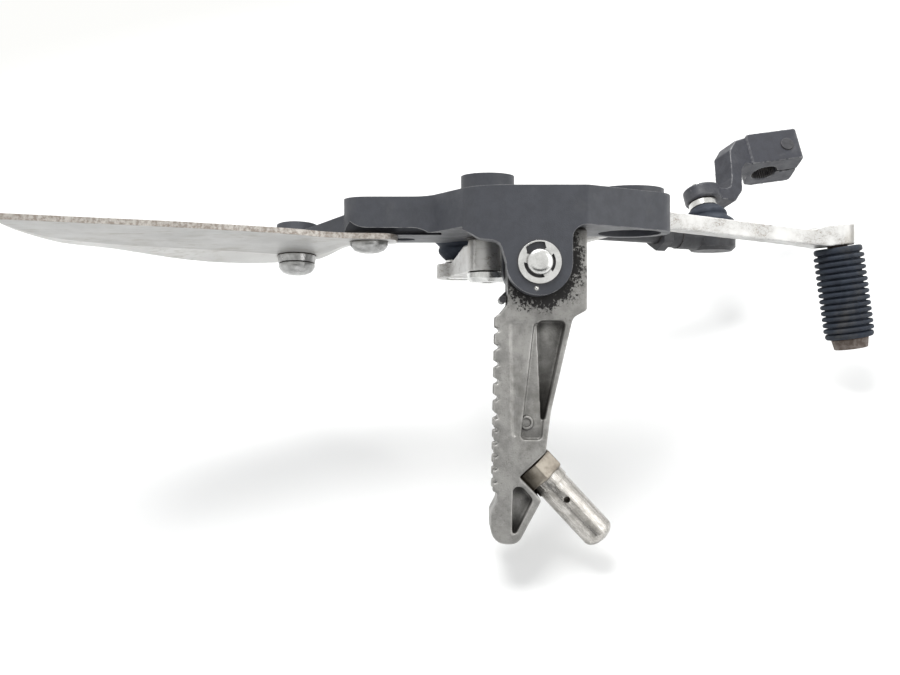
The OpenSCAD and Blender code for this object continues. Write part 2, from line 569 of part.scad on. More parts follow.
// A ball joint's housing: a cup closed behind the ball, with a tail along the rod and its mouth at an angle
module ball_case(side, lean) difference() {
    union() {
        rotate_extrude() polygon([[0, -case_h / 2], [ball_case_r - 1.6, -case_h / 2], [ball_case_r, -case_h / 2 + 1.6],
            [ball_case_r, case_h / 2 - 0.8], [ball_case_r - 0.8, case_h / 2], [0, case_h / 2]]);
        rotate([0, side * 90, 0]) cylinder(r = case_h / 2 - 0.2, h = case_tail - 6);
        rotate([0, side * 90, 0]) cylinder(r = 5.4, h = case_tail);
    }
    sphere(r = socket_r, $fn = 48);
    rotate([-lean, 0, 0]) cylinder(r = ball_d / 2 - 0.5, h = case_h);
    rotate([0, side * 90, 0]) translate([0, 0, 11]) cylinder(r = rod_d / 2 + 0.05, h = case_tail);
}

module rod_end_rear() color([0.22, 0.22, 0.24]) at_rear() ball_case(1, 0);
module rod_end_front() color([0.22, 0.22, 0.24]) at_rod() translate([link_len, 0, 0]) ball_case(-1, front_roll);

rod_from = 14;
module link_rod() color([0.2, 0.2, 0.22]) at_rod() translate([rod_from, 0, 0]) rotate([0, 90, 0])
    cylinder(d = rod_d, h = link_len - 2 * rod_from);

nut_t = 5;
module rod_lock_nuts() color([0.5, 0.5, 0.5]) at_rod() for (x = [case_tail + 0.05, link_len - case_tail - nut_t - 0.05])
    translate([x, 0, 0]) rotate([0, 90, 0]) difference() {
        cylinder(r = 7.2, h = nut_t, $fn = 6);
        translate([0, 0, -1]) cylinder(r = rod_d / 2 + 0.05, h = nut_t + 2);
    }

// Height above the ball of the short arm's face and of the shift arm's ring
rear_seat = rod_z - short_top;
ring_seat = 17.6;
ring_t = 6;
collar_t = 3.2;

module ball_stud(seat, collar, thread) rotate_extrude() polygon(concat(
    [for (a = [-90:10:50]) ball_d / 2 * [cos(a), sin(a)]],
    [[stud_r, ball_d / 2 * sin(50) + 1], [stud_r, seat - collar], [6.2, seat - collar], [6.2, seat - 0.6],
     [5.6, seat], [stud_r, seat], [stud_r, seat + thread - 0.6], [stud_r - 0.6, seat + thread], [0, seat + thread]]));

module ball_stud_rear() color([0.8, 0.8, 0.78]) at_rear() ball_stud(rear_seat - 0.02, 1.5, short_top - short_low - 0.2);
module ball_stud_front() color([0.85, 0.85, 0.83]) at_front() ball_stud(ring_seat, collar_t, 9);

module stud_nut_rear() color([0.75, 0.75, 0.74]) at_rear()
    translate([0, 0, rear_seat + short_top - short_low - nut_room_h + 0.02]) difference() {
        cylinder(r = 5.77, h = nut_room_h - 0.3, $fn = 6);
        translate([0, 0, -1]) cylinder(r = stud_r + 0.05, h = nut_room_h + 2);
    }

// A rubber boot between a housing's level face and the stud's collar, which leans with the stud
boot_sides = 40;
boot_loop = [[5.9, 0], [ball_case_r - 0.3, 0], [ball_case_r + 0.1, 0.16], [ball_case_r - 1, 0.36], [ball_case_r - 2.2, 0.43],
    [ball_case_r - 1.6, 0.55], [6.6, 1], [stud_r + 0.3, 1], [stud_r + 0.3, 0.86], [5.9, 0.4]];
module boot(top, lean) {
    n = len(boot_loop);
    low = [0, 0, case_h / 2 + 0.05];
    high = [0, sin(lean), cos(lean)] * (top - 0.05);
    polyhedron([for (j = [0:boot_sides - 1], p = boot_loop)
        let (a = 360 * j / boot_sides, c = p[0] * cos(a), s = p[0] * sin(a))
        (1 - p[1]) * (low + [c, s, 0]) + p[1] * (high + [c, s * cos(lean), -s * sin(lean)])],
        [for (j = [0:boot_sides - 1], i = [0:n - 1])
            let (m = (j + 1) % boot_sides, k = (i + 1) % n) each [[j * n + i, j * n + k, m * n + k], [j * n + i, m * n + k, m * n + i]]]);
}

module boot_rear() color([0.12, 0.13, 0.16]) at_rear() boot(rear_seat - 1.5, 0);
module boot_front() color([0.12, 0.13, 0.16]) at_rod() translate([link_len, 0, 0]) boot(ring_seat - collar_t, front_roll);

// Shift arm
arm_turn = 5;
block_seat = 38.7;
block_h = 15.5;
block_front = 12;
block_back = 12;
block_reach = 16;
block_turn = -30;
strap_w = 12;
pinch_x = 9.6;
pinch_r = 3;
slit_w = 1.2;

arm_side = [
    [0, ring_seat, 0], [16, ring_seat, 4], [arm_len - 20, ring_seat + 7, 7], [arm_len - 13, block_seat + 0.3, 3],
    [arm_len - 4, block_seat + 0.3, 0], [arm_len - 4, block_seat + block_h - 1.4, 0],
    [arm_len - 12, block_seat + block_h - 1.4, 4], [19, block_seat + 7, 9], [13, ring_seat + ring_t + 4, 4],
    [11, ring_seat + ring_t - 0.3, 2], [0, ring_seat + ring_t - 0.3, 0]];

module at_arm() at_front() rotate([0, 0, arm_turn]) children();
module at_block() at_arm() translate([arm_len, 0, block_seat]) rotate([0, 0, block_turn]) children();

module shift_arm() color([0.27, 0.27, 0.3]) difference() {
    union() {
        at_arm() translate([0, 0, ring_seat]) cylinder(r = 10.6, h = ring_t);
        at_arm() upright(-strap_w / 2, strap_w) polygon(rounded(arm_side));
        at_block() chamfered([[-8.6, -block_front, 3], [block_reach, -block_front, 1.5],
            [block_reach, block_back, 1.5], [-8.6, block_back, 6]], block_h, 1, 1);
    }
    at_arm() translate([0, 0, ring_seat - 1]) cylinder(r = stud_r + 0.05, h = ring_t + 2);
    at_block() translate([0, 0, -1]) cylinder(d = shaft_d, h = block_h + 2);
    at_block() translate([0, -slit_w / 2, -1]) cube([block_reach + 1, slit_w, block_h + 2]);
    at_block() translate([pinch_x, block_back + 1, block_h / 2]) rotate([90, 0, 0])
        cylinder(r = pinch_r + 0.1, h = block_front + block_back + 2);
}

module pinch_bolt() color([0.45, 0.45, 0.47]) at_block() translate([pinch_x, 0, block_h / 2])
    rotate([90, 0, 0]) union() {
        translate([0, 0, -block_back + 1]) cylinder(r = pinch_r, h = block_front + block_back - 0.4);
        translate([0, 0, -block_back - 4.1]) cylinder(r = 5.2, h = 4);
        translate([0, 0, -block_back - 0.2]) cylinder(r = pinch_r, h = 2);
    }

hanger_bracket();
heel_guard();
heel_guard_screws();
footpeg();
footpeg_pin();
pin_clip();
footpeg_spring();
peg_feeler();
gear_lever();
lever_pivot_bolt();
lever_bushes();
lever_washer();
toe_pin();
toe_rubber();
link_rod();
rod_end_rear();
rod_end_front();
rod_lock_nuts();
ball_stud_rear();
ball_stud_front();
boot_rear();
boot_front();
stud_nut_rear();
shift_arm();
pinch_bolt();
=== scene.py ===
"""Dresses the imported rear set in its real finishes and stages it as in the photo."""

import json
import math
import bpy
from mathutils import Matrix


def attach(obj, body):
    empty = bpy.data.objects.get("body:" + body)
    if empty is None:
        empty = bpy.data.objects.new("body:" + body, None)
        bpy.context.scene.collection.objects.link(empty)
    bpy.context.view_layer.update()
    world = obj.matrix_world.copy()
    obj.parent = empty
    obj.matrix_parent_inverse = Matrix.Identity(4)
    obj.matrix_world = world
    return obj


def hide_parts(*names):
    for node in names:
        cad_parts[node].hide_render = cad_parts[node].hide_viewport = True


bl_info = {
    "name": "Rear Set Footrest",
    "version": (1, 0, 0),
    "blender": (4, 5, 0),
    "location": "View3D > Sidebar > Rear Set",
    "description": "Dresses the rear set's pieces, one operator for each, and sets its stage",
    "category": "Object",
}

from collections import namedtuple

import bmesh
import bpy
from bpy.props import FloatProperty, FloatVectorProperty, PointerProperty
from mathutils import Matrix, Vector, noise

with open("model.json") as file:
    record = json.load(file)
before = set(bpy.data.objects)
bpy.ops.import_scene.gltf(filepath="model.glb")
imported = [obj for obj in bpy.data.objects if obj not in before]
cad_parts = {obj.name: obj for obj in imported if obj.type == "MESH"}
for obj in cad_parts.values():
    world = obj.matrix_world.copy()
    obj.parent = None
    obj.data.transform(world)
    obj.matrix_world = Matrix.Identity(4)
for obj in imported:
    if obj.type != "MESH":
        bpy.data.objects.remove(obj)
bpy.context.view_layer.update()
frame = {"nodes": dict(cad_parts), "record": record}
NODES = frame["nodes"]
MM = 0.001
BODY_OF = {
    node: body
    for body, members in frame["record"]["behaviour"]["bodies"].items()
    for node in members
}
SLOT_OF = {entry["node"]: entry["material_slot"] for entry in frame["record"]["subparts"]}
JOINTS = {joint["name"]: joint for joint in frame["record"]["behaviour"]["joints"]}
PEG_AXIS = tuple(value * 1000 for value in JOINTS["peg_fold"]["pos_m"])

# Radius of the rounded edges of pieces whose edges aren't in the panel, in millimetres
EDGES = {
    "heel_guard": 0.35, "peg_feeler": 0.3, "footpeg_pin": 0.8, "pin_clip": 0.05, "footpeg_spring": 0.1,
    "lever_bushes": 0.15, "lever_washer": 0.12, "link_rod": 0.2, "rod_lock_nuts": 0.25, "rod_end": 0.5,
    "ball_stud": 0.2, "stud_nut_rear": 0.25, "pinch_bolt": 0.3,
}
# Fineness in millimetres, and rounds of smoothing, of the pieces that have one soft skin
SKINS = {"footpeg": (0.36, 4), "gear_lever": (0.4, 6), "shift_arm": (0.38, 4)}
MERGE_REACH = 2e-6


# Small mesh tools


def mm(x, y, z):
    """A point given in millimetres, in metres."""
    return Vector((x, y, z)) * MM


def round_point(radius, turn, height):
    """A point on a circle about the local Z axis, from millimetres and a turn in radians."""
    return mm(radius * math.cos(turn), radius * math.sin(turn), height)


def new_object(name, bm, body, replaced=()):
    """Turns a bmesh into a piece that rides on a body."""
    mesh = bpy.data.meshes.new(name)
    bm.to_mesh(mesh)
    bm.free()
    piece = bpy.data.objects.new(name, mesh)
    bpy.context.scene.collection.objects.link(piece)
    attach(piece, body)
    if replaced:
        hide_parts(*replaced)
    return piece


def shade(piece, angle):
    """Smooth shading that breaks at edges sharper than the angle."""
    for face in piece.data.polygons:
        face.use_smooth = True
    piece.data.set_sharp_from_angle(angle=math.radians(angle))


def dress(node, name, width, material, segments=2, limit=28):
    """Copies a rigid node's mesh, rounds its edges and lets the copy stand for it."""
    bm = bmesh.new()
    bm.from_mesh(NODES[node].data)
    bmesh.ops.remove_doubles(bm, verts=bm.verts, dist=MERGE_REACH)
    bmesh.ops.dissolve_limit(
        bm, angle_limit=math.radians(0.6), verts=bm.verts, edges=bm.edges, use_dissolve_boundaries=False
    )
    piece = new_object(name, bm, BODY_OF[node], (node,))
    bevel = piece.modifiers.new("rounded edges", "BEVEL")
    bevel.width = width * MM
    bevel.segments = segments
    bevel.limit_method = "ANGLE"
    bevel.angle_limit = math.radians(limit)
    bevel.harden_normals = True
    bevel.use_clamp_overlap = True
    bevel.miter_outer = "MITER_ARC"
    shade(piece, limit)
    piece.data.materials.append(material)
    return piece


def prism(bm, outline, place, low, high):
    """Raises a closed outline of (x, y) points from one height to another."""
    ends = [[bm.verts.new(place @ mm(x, y, height)) for x, y in outline] for height in (low, high)]
    bm.faces.new(ends[0][::-1])
    bm.faces.new(ends[1])
    for i in range(len(outline)):
        k = (i + 1) % len(outline)
        bm.faces.new((ends[0][i], ends[0][k], ends[1][k], ends[1][i]))


def cast_skin(node, name, material, fills=()):
    """Copies a cast or forged node and gives it one soft skin, with fillets in its corners.

    fills: metal that joins the skin, each (low, high, outline of (x, z) points), where low and high are
    measured from Y = 0 toward the photo's side
    """
    bm = bmesh.new()
    bm.from_mesh(NODES[node].data)
    bmesh.ops.remove_doubles(bm, verts=bm.verts, dist=MERGE_REACH)
    for low, high, outline in fills:
        prism(bm, outline, Matrix.Rotation(math.radians(90.0), 4, "X"), low, high)
    bmesh.ops.recalc_face_normals(bm, faces=bm.faces)
    piece = new_object(name, bm, BODY_OF[node], (node,))
    soften(piece, node)
    piece.data.materials.append(material)


def soften(piece, node):
    """Joins a piece's closed shapes under one skin and rounds it."""
    voxel, rounds = SKINS[node]
    skin = piece.modifiers.new("skin", "REMESH")
    skin.mode = "VOXEL"
    skin.voxel_size = voxel * MM
    skin.use_smooth_shade = True
    soft = piece.modifiers.new("soft edges", "SMOOTH")
    soft.factor = 0.5
    soft.iterations = rounds


def lathe(bm, profile, place, steps=64):
    """Turns a profile of (radius, height) pairs in millimetres about the local Z axis."""
    rings = []
    for radius, height in profile:
        if radius < 1e-6:
            rings.append([bm.verts.new(place @ mm(0, 0, height))])
            continue
        ring = []
        for i in range(steps):
            ring.append(bm.verts.new(place @ round_point(radius, math.tau * i / steps, height)))
        rings.append(ring)
    for low, high in zip(rings, rings[1:]):
        for i in range(steps):
            k = (i + 1) % steps
            if len(low) == 1 and len(high) == 1:
                continue
            if len(low) == 1:
                bm.faces.new((low[0], high[k], high[i]))
            elif len(high) == 1:
                bm.faces.new((low[i], low[k], high[0]))
            else:
                bm.faces.new((low[i], low[k], high[k], high[i]))


# Shared effects, each a node group with named sockets


def group(name, inputs, outputs):
    """A new shader group. Inputs are (name, type, default); outputs are (name, type)."""
    tree = bpy.data.node_groups.new(name, "ShaderNodeTree")
    for label, kind, value in inputs:
        socket = tree.interface.new_socket(label, in_out="INPUT", socket_type=f"NodeSocket{kind}")
        if value is not None:
            socket.default_value = value
    for label, kind in outputs:
        tree.interface.new_socket(label, in_out="OUTPUT", socket_type=f"NodeSocket{kind}")
    return tree, tree.nodes.new("NodeGroupInput").outputs, tree.nodes.new("NodeGroupOutput").inputs


def add(tree, kind, links=None, **settings):
    """A node with its settings and its sockets, which take a value or another node's socket."""
    node = tree.nodes.new(f"ShaderNode{kind}")
    for key, value in settings.items():
        setattr(node, key, value)
    for key, value in (links or {}).items():
        socket = node.inputs[key]
        if isinstance(value, bpy.types.NodeSocket):
            tree.links.new(value, socket)
        else:
            socket.default_value = value
    return node


def plain_noise(tree, scale, detail):
    return add(tree, "TexNoise", {"Vector": place_of(tree), "Scale": scale, "Detail": detail}).outputs["Fac"]


def maths(tree, operation, a, b=0.0, clamp=False):
    return add(tree, "Math", {0: a, 1: b}, operation=operation, use_clamp=clamp).outputs[0]


def band(tree, value, low, high):
    """A value spread from its low and high to 0 and 1."""
    links = {"Value": value, "From Min": low, "From Max": high}
    return add(tree, "MapRange", links, interpolation_type="SMOOTHSTEP").outputs["Result"]


def blend_colour(tree, factor, a, b, mode="MIX"):
    node = add(tree, "Mix", data_type="RGBA", blend_type=mode, clamp_factor=True)
    for index, value in ((0, factor), (6, a), (7, b)):
        if isinstance(value, bpy.types.NodeSocket):
            tree.links.new(value, node.inputs[index])
        else:
            node.inputs[index].default_value = value if index == 0 else (*value, 1.0)
    return node.outputs[2]


def place_of(tree):
    """The surface's own place, which stays with the piece when a joint moves it."""
    return add(tree, "TexCoord").outputs["Object"]


def speckle(tree, scale, detail=4.0, roughness=0.6, stretch=(1, 1, 1), turn=(0, 0, 0), warp=0.0):
    mapping = add(tree, "Mapping", {"Vector": place_of(tree), "Scale": stretch, "Rotation": turn})
    links = {"Vector": mapping.outputs[0], "Scale": scale, "Detail": detail}
    links.update({"Roughness": roughness, "Distortion": warp})
    return add(tree, "TexNoise", links).outputs["Fac"]


def edge_wear_group():
    """Edge Wear: where handling rubs a finish off its outer edges, broken up by noise."""
    tree, given, out = group(
        "Edge Wear",
        (
            ("Radius", "Float", 0.0008), ("Patchiness", "Float", 0.5), ("Scale", "Float", 900.0),
            ("Crests", "Float", 0.0),
        ),
        (("Wear", "Float"),),
    )
    rounded = add(tree, "Bevel", {"Radius": given["Radius"]}, samples=6).outputs[0]
    true_normal = add(tree, "NewGeometry").outputs["Normal"]
    dot = add(tree, "VectorMath", {0: rounded, 1: true_normal}, operation="DOT_PRODUCT").outputs["Value"]
    edge = band(tree, dot, 0.995, 0.86)
    crest = band(tree, add(tree, "NewGeometry").outputs["Pointiness"], 0.51, 0.56)
    edge = maths(tree, "MAXIMUM", edge, maths(tree, "MULTIPLY", crest, given["Crests"]))
    coarse = speckle(tree, 160.0)
    fine = plain_noise(tree, given["Scale"], 5.0)
    both = maths(tree, "ADD", maths(tree, "MULTIPLY", coarse, 0.6), maths(tree, "MULTIPLY", fine, 0.4))
    missing = maths(tree, "MULTIPLY", given["Patchiness"], 0.2)
    patches = band(tree, maths(tree, "SUBTRACT", both, missing), 0.34, 0.5)
    tree.links.new(maths(tree, "MULTIPLY", edge, patches, True), out["Wear"])


def cast_grain_group():
    """Cast Grain: the fine pebbled skin of a sand-blasted casting, as a height and its deepest pits."""
    tree, given, out = group(
        "Cast Grain",
        (("Size", "Float", 1400.0), ("Lumps", "Float", 0.35)),
        (("Height", "Float"), ("Pits", "Float")),
    )
    cells = add(tree, "TexVoronoi", {"Vector": place_of(tree), "Scale": given["Size"]}, feature="SMOOTH_F1")
    fine = plain_noise(tree, given["Size"], 6.0)
    lumps = speckle(tree, 260.0, 3.0)
    height = maths(tree, "ADD", cells.outputs["Distance"], fine)
    height = maths(tree, "ADD", height, maths(tree, "MULTIPLY", lumps, given["Lumps"]))
    tree.links.new(height, out["Height"])
    tree.links.new(band(tree, fine, 0.42, 0.3), out["Pits"])


def scuff_group():
    """Scuffs: thin crossing scratches that run along the piece, and its fine brushed lines."""
    tree, given, out = group(
        "Scuffs",
        (("Turn", "Vector", (0.0, 0.0, 0.0)), ("Density", "Float", 0.5), ("Scale", "Float", 240.0)),
        (("Scratches", "Float"), ("Brush", "Float")),
    )
    total = None
    for angle, stretch in ((0.0, 0.035), (0.42, 0.05), (-0.6, 0.07)):
        turned = add(tree, "Mapping", {"Vector": place_of(tree), "Rotation": given["Turn"]}).outputs[0]
        pull = {"Vector": turned, "Rotation": (0, angle * 0.5, angle), "Scale": (stretch, 1, 1)}
        pulled = add(tree, "Mapping", pull)
        links = {"Vector": pulled.outputs[0], "Scale": given["Scale"], "Detail": 3.0, "Roughness": 0.7}
        lines = add(tree, "TexNoise", links).outputs["Fac"]
        thin = band(tree, maths(tree, "ABSOLUTE", maths(tree, "SUBTRACT", lines, 0.5)), 0.012, 0.0)
        total = thin if total is None else maths(tree, "MAXIMUM", total, thin)
    where = speckle(tree, 70.0, 3.0)
    where = band(tree, maths(tree, "ADD", where, maths(tree, "MULTIPLY", given["Density"], 0.3)), 0.55, 0.75)
    tree.links.new(maths(tree, "MULTIPLY", total, where, True), out["Scratches"])
    turned = add(tree, "Mapping", {"Vector": place_of(tree), "Rotation": given["Turn"]}).outputs[0]
    pulled = add(tree, "Mapping", {"Vector": turned, "Scale": (0.02, 1, 1)}).outputs[0]
    brush = add(tree, "TexNoise", {"Vector": pulled, "Scale": 2600.0, "Detail": 2.0}).outputs["Fac"]
    tree.links.new(brush, out["Brush"])


def grime_and_shade_group():
    """Grime and shade: corners and recesses darkened by ambient occlusion, which is dirt with painted shade,
    and faint stains spread at random.
    """
    tree, given, out = group(
        "GrimeAndShade",
        (
            ("Reach", "Float", 0.004), ("Amount", "Float", 0.5), ("Stains", "Float", 0.3),
            ("Scale", "Float", 120.0),
        ),
        (("DirtAndShade", "Float"), ("Stain", "Float")),
    )
    # Painted shade: ambient occlusion darkens corners and recesses where shade falls, mottled, as dirt and
    # shade in one
    shut = add(tree, "AmbientOcclusion", {"Distance": given["Reach"]}, samples=8).outputs["AO"]
    corner = maths(tree, "SUBTRACT", 1.0, shut)
    mottle = plain_noise(tree, given["Scale"], 6.0)
    mixed = maths(tree, "MULTIPLY", corner, maths(tree, "ADD", mottle, 0.45))
    dirt_and_shade = maths(tree, "MULTIPLY", band(tree, mixed, 0.12, 0.62), given["Amount"], True)
    tree.links.new(dirt_and_shade, out["DirtAndShade"])
    broad = speckle(tree, 46.0, 5.0, 0.65, warp=0.6)
    stain = maths(tree, "MULTIPLY", band(tree, broad, 0.52, 0.72), given["Stains"], True)
    tree.links.new(stain, out["Stain"])


def use(tree, name, links):
    """Places a shared group in a material, with its own values."""
    node = tree.nodes.new("ShaderNodeGroup")
    node.node_tree = bpy.data.node_groups[name]
    for key, value in links.items():
        node.inputs[key].default_value = value
    return node.outputs


def ring_of_soot_and_shade(tree, point, inner, outer):
    """A near-black ring about a hinge pin: painted shade close around the ear that covers the pin, breaking
    into speckled soot held by grease further out.
    """
    offset = add(tree, "VectorMath", {0: place_of(tree), 1: mm(*point)}, operation="SUBTRACT").outputs[0]
    flat = add(tree, "VectorMath", {0: offset, 1: (1.0, 0.0, 1.0)}, operation="MULTIPLY").outputs[0]
    reach = add(tree, "VectorMath", {0: flat}, operation="LENGTH").outputs["Value"]
    zone = band(tree, reach, outer * MM, inner * MM)
    fine = speckle(tree, 1100.0, 6.0, 0.75)
    broad = speckle(tree, 170.0, 3.0)
    mixed = maths(tree, "ADD", fine, maths(tree, "MULTIPLY", broad, 0.5))
    grit = band(tree, maths(tree, "ADD", mixed, maths(tree, "MULTIPLY", zone, 0.3)), 0.88, 0.96)
    return maths(tree, "MULTIPLY", band(tree, zone, 0.0, 0.3), grit, True)


def fresh_material(name):
    material = bpy.data.materials.new(name)
    material.use_nodes = True
    tree = material.node_tree
    tree.nodes.clear()
    shader = tree.nodes.new("ShaderNodeBsdfPrincipled")
    tree.links.new(shader.outputs[0], tree.nodes.new("ShaderNodeOutputMaterial").inputs[0])
    return material, tree, shader.inputs


# What a finish is told of each effect: reaches and depths in millimetres, amounts from 0 to 1
Wear = namedtuple("Wear", "colour reach patchiness scale metallic crests")
Scuffs = namedtuple("Scuffs", "colour density scale turn")
# Darkening in corners and recesses, part dirt and part painted shade
DirtAndShade = namedtuple("DirtAndShade", "colour reach amount")
Stain = namedtuple("Stain", "colour amount")
Pits = namedtuple("Pits", "colour amount")
Grain = namedtuple("Grain", "size lumps depth")
# A near-black ring about a hinge pin: painted shade around the ear, with speckled soot
SootAndShade = namedtuple("SootAndShade", "point inner outer colour amount")
NO_DIRT_OR_SHADE = DirtAndShade(None, 3.0, 0.0)
PLAIN_DEPTH = 0.004


def finish(
    name, main, second, rough, metallic=0.0, mottle=180.0, grain=None, wear=None, scuffs=None, dirt_and_shade=None,
    stain=None, brushed=0.0, specular=0.5, pits=None, soot_and_shade=None,
):
    """One finish of the rear set, from its two base colours up to its corner darkening of dirt with painted
    shade.

    rough: lowest and highest roughness; mottle: how fine the two colours are mixed;
    brushed: strength of the lines that go with scuffs; pits: dark specks in the grain;
    soot: a near-black ring of painted shade and speckled soot about the Y axis through its point
    """
    material, tree, shader = fresh_material(name)
    broad = speckle(tree, mottle, 5.0, 0.65)
    colour = blend_colour(tree, band(tree, broad, 0.36, 0.64), main, second)
    spread = {"Value": broad, "From Min": 0.3, "From Max": 0.7, "To Min": rough[0], "To Max": rough[1]}
    roughness = add(tree, "MapRange", spread).outputs["Result"]
    metal = metallic
    height = None
    if scuffs:
        marks = use(tree, "Scuffs", {"Density": scuffs.density, "Scale": scuffs.scale, "Turn": scuffs.turn})
        colour = blend_colour(tree, marks["Scratches"], colour, scuffs.colour)
        if brushed:
            stripes = maths(tree, "MULTIPLY", maths(tree, "SUBTRACT", marks["Brush"], 0.5), brushed)
            roughness = maths(tree, "ADD", roughness, stripes, True)
            height = maths(tree, "MULTIPLY", marks["Brush"], brushed)
    # The corner darkening paints shade into corners and recesses together with dirt; the stains are the
    # part's own
    if stain or dirt_and_shade:
        values = {"Reach": (dirt_and_shade or NO_DIRT_OR_SHADE).reach * MM, "Amount": (dirt_and_shade or NO_DIRT_OR_SHADE).amount}
        soil_and_shade = use(tree, "GrimeAndShade", {**values, "Stains": stain.amount if stain else 0.0})
    if stain:
        colour = blend_colour(tree, soil_and_shade["Stain"], colour, stain.colour)
    if wear:
        rubbed = use(tree, "Edge Wear", {
            "Radius": wear.reach * MM, "Patchiness": wear.patchiness, "Scale": wear.scale,
            "Crests": wear.crests,
        })["Wear"]
        colour = blend_colour(tree, rubbed, colour, wear.colour)
        if wear.metallic != metallic:
            change = maths(tree, "MULTIPLY", rubbed, wear.metallic - metallic)
            metal = maths(tree, "ADD", metallic, change, True)
    # Painted shade with dirt: corners and recesses darken by ambient occlusion
    if dirt_and_shade:
        colour = blend_colour(tree, soil_and_shade["DirtAndShade"], colour, dirt_and_shade.colour)
        roughness = maths(tree, "ADD", roughness, maths(tree, "MULTIPLY", soil_and_shade["DirtAndShade"], 0.3), True)
    if grain:
        skin = use(tree, "Cast Grain", {"Size": grain.size, "Lumps": grain.lumps})
        height = skin["Height"] if height is None else maths(tree, "ADD", height, skin["Height"])
        if pits:
            dark = maths(tree, "MULTIPLY", skin["Pits"], pits.amount)
            colour = blend_colour(tree, dark, colour, pits.colour)
    # Painted shade with soot: a near-black ring about the hinge pin
    if soot_and_shade:
        near = ring_of_soot_and_shade(tree, soot_and_shade.point, soot_and_shade.inner, soot_and_shade.outer)
        colour = blend_colour(tree, maths(tree, "MULTIPLY", near, soot_and_shade.amount), colour, soot_and_shade.colour)
    for key, value in (("Base Color", colour), ("Roughness", roughness), ("Metallic", metal)):
        if isinstance(value, bpy.types.NodeSocket):
            tree.links.new(value, shader[key])
        else:
            shader[key].default_value = value
    shader["Specular IOR Level"].default_value = specular
    if height is not None:
        depth = (grain.depth if grain else PLAIN_DEPTH) * MM
        bump = add(tree, "Bump", {"Height": height, "Distance": depth, "Strength": 1.0})
        tree.links.new(bump.outputs[0], shader["Normal"])


def build_groups():
    for make in (edge_wear_group, cast_grain_group, scuff_group, grime_and_shade_group):
        make()


def tone(colour, share):
    return tuple(value * share for value in colour)


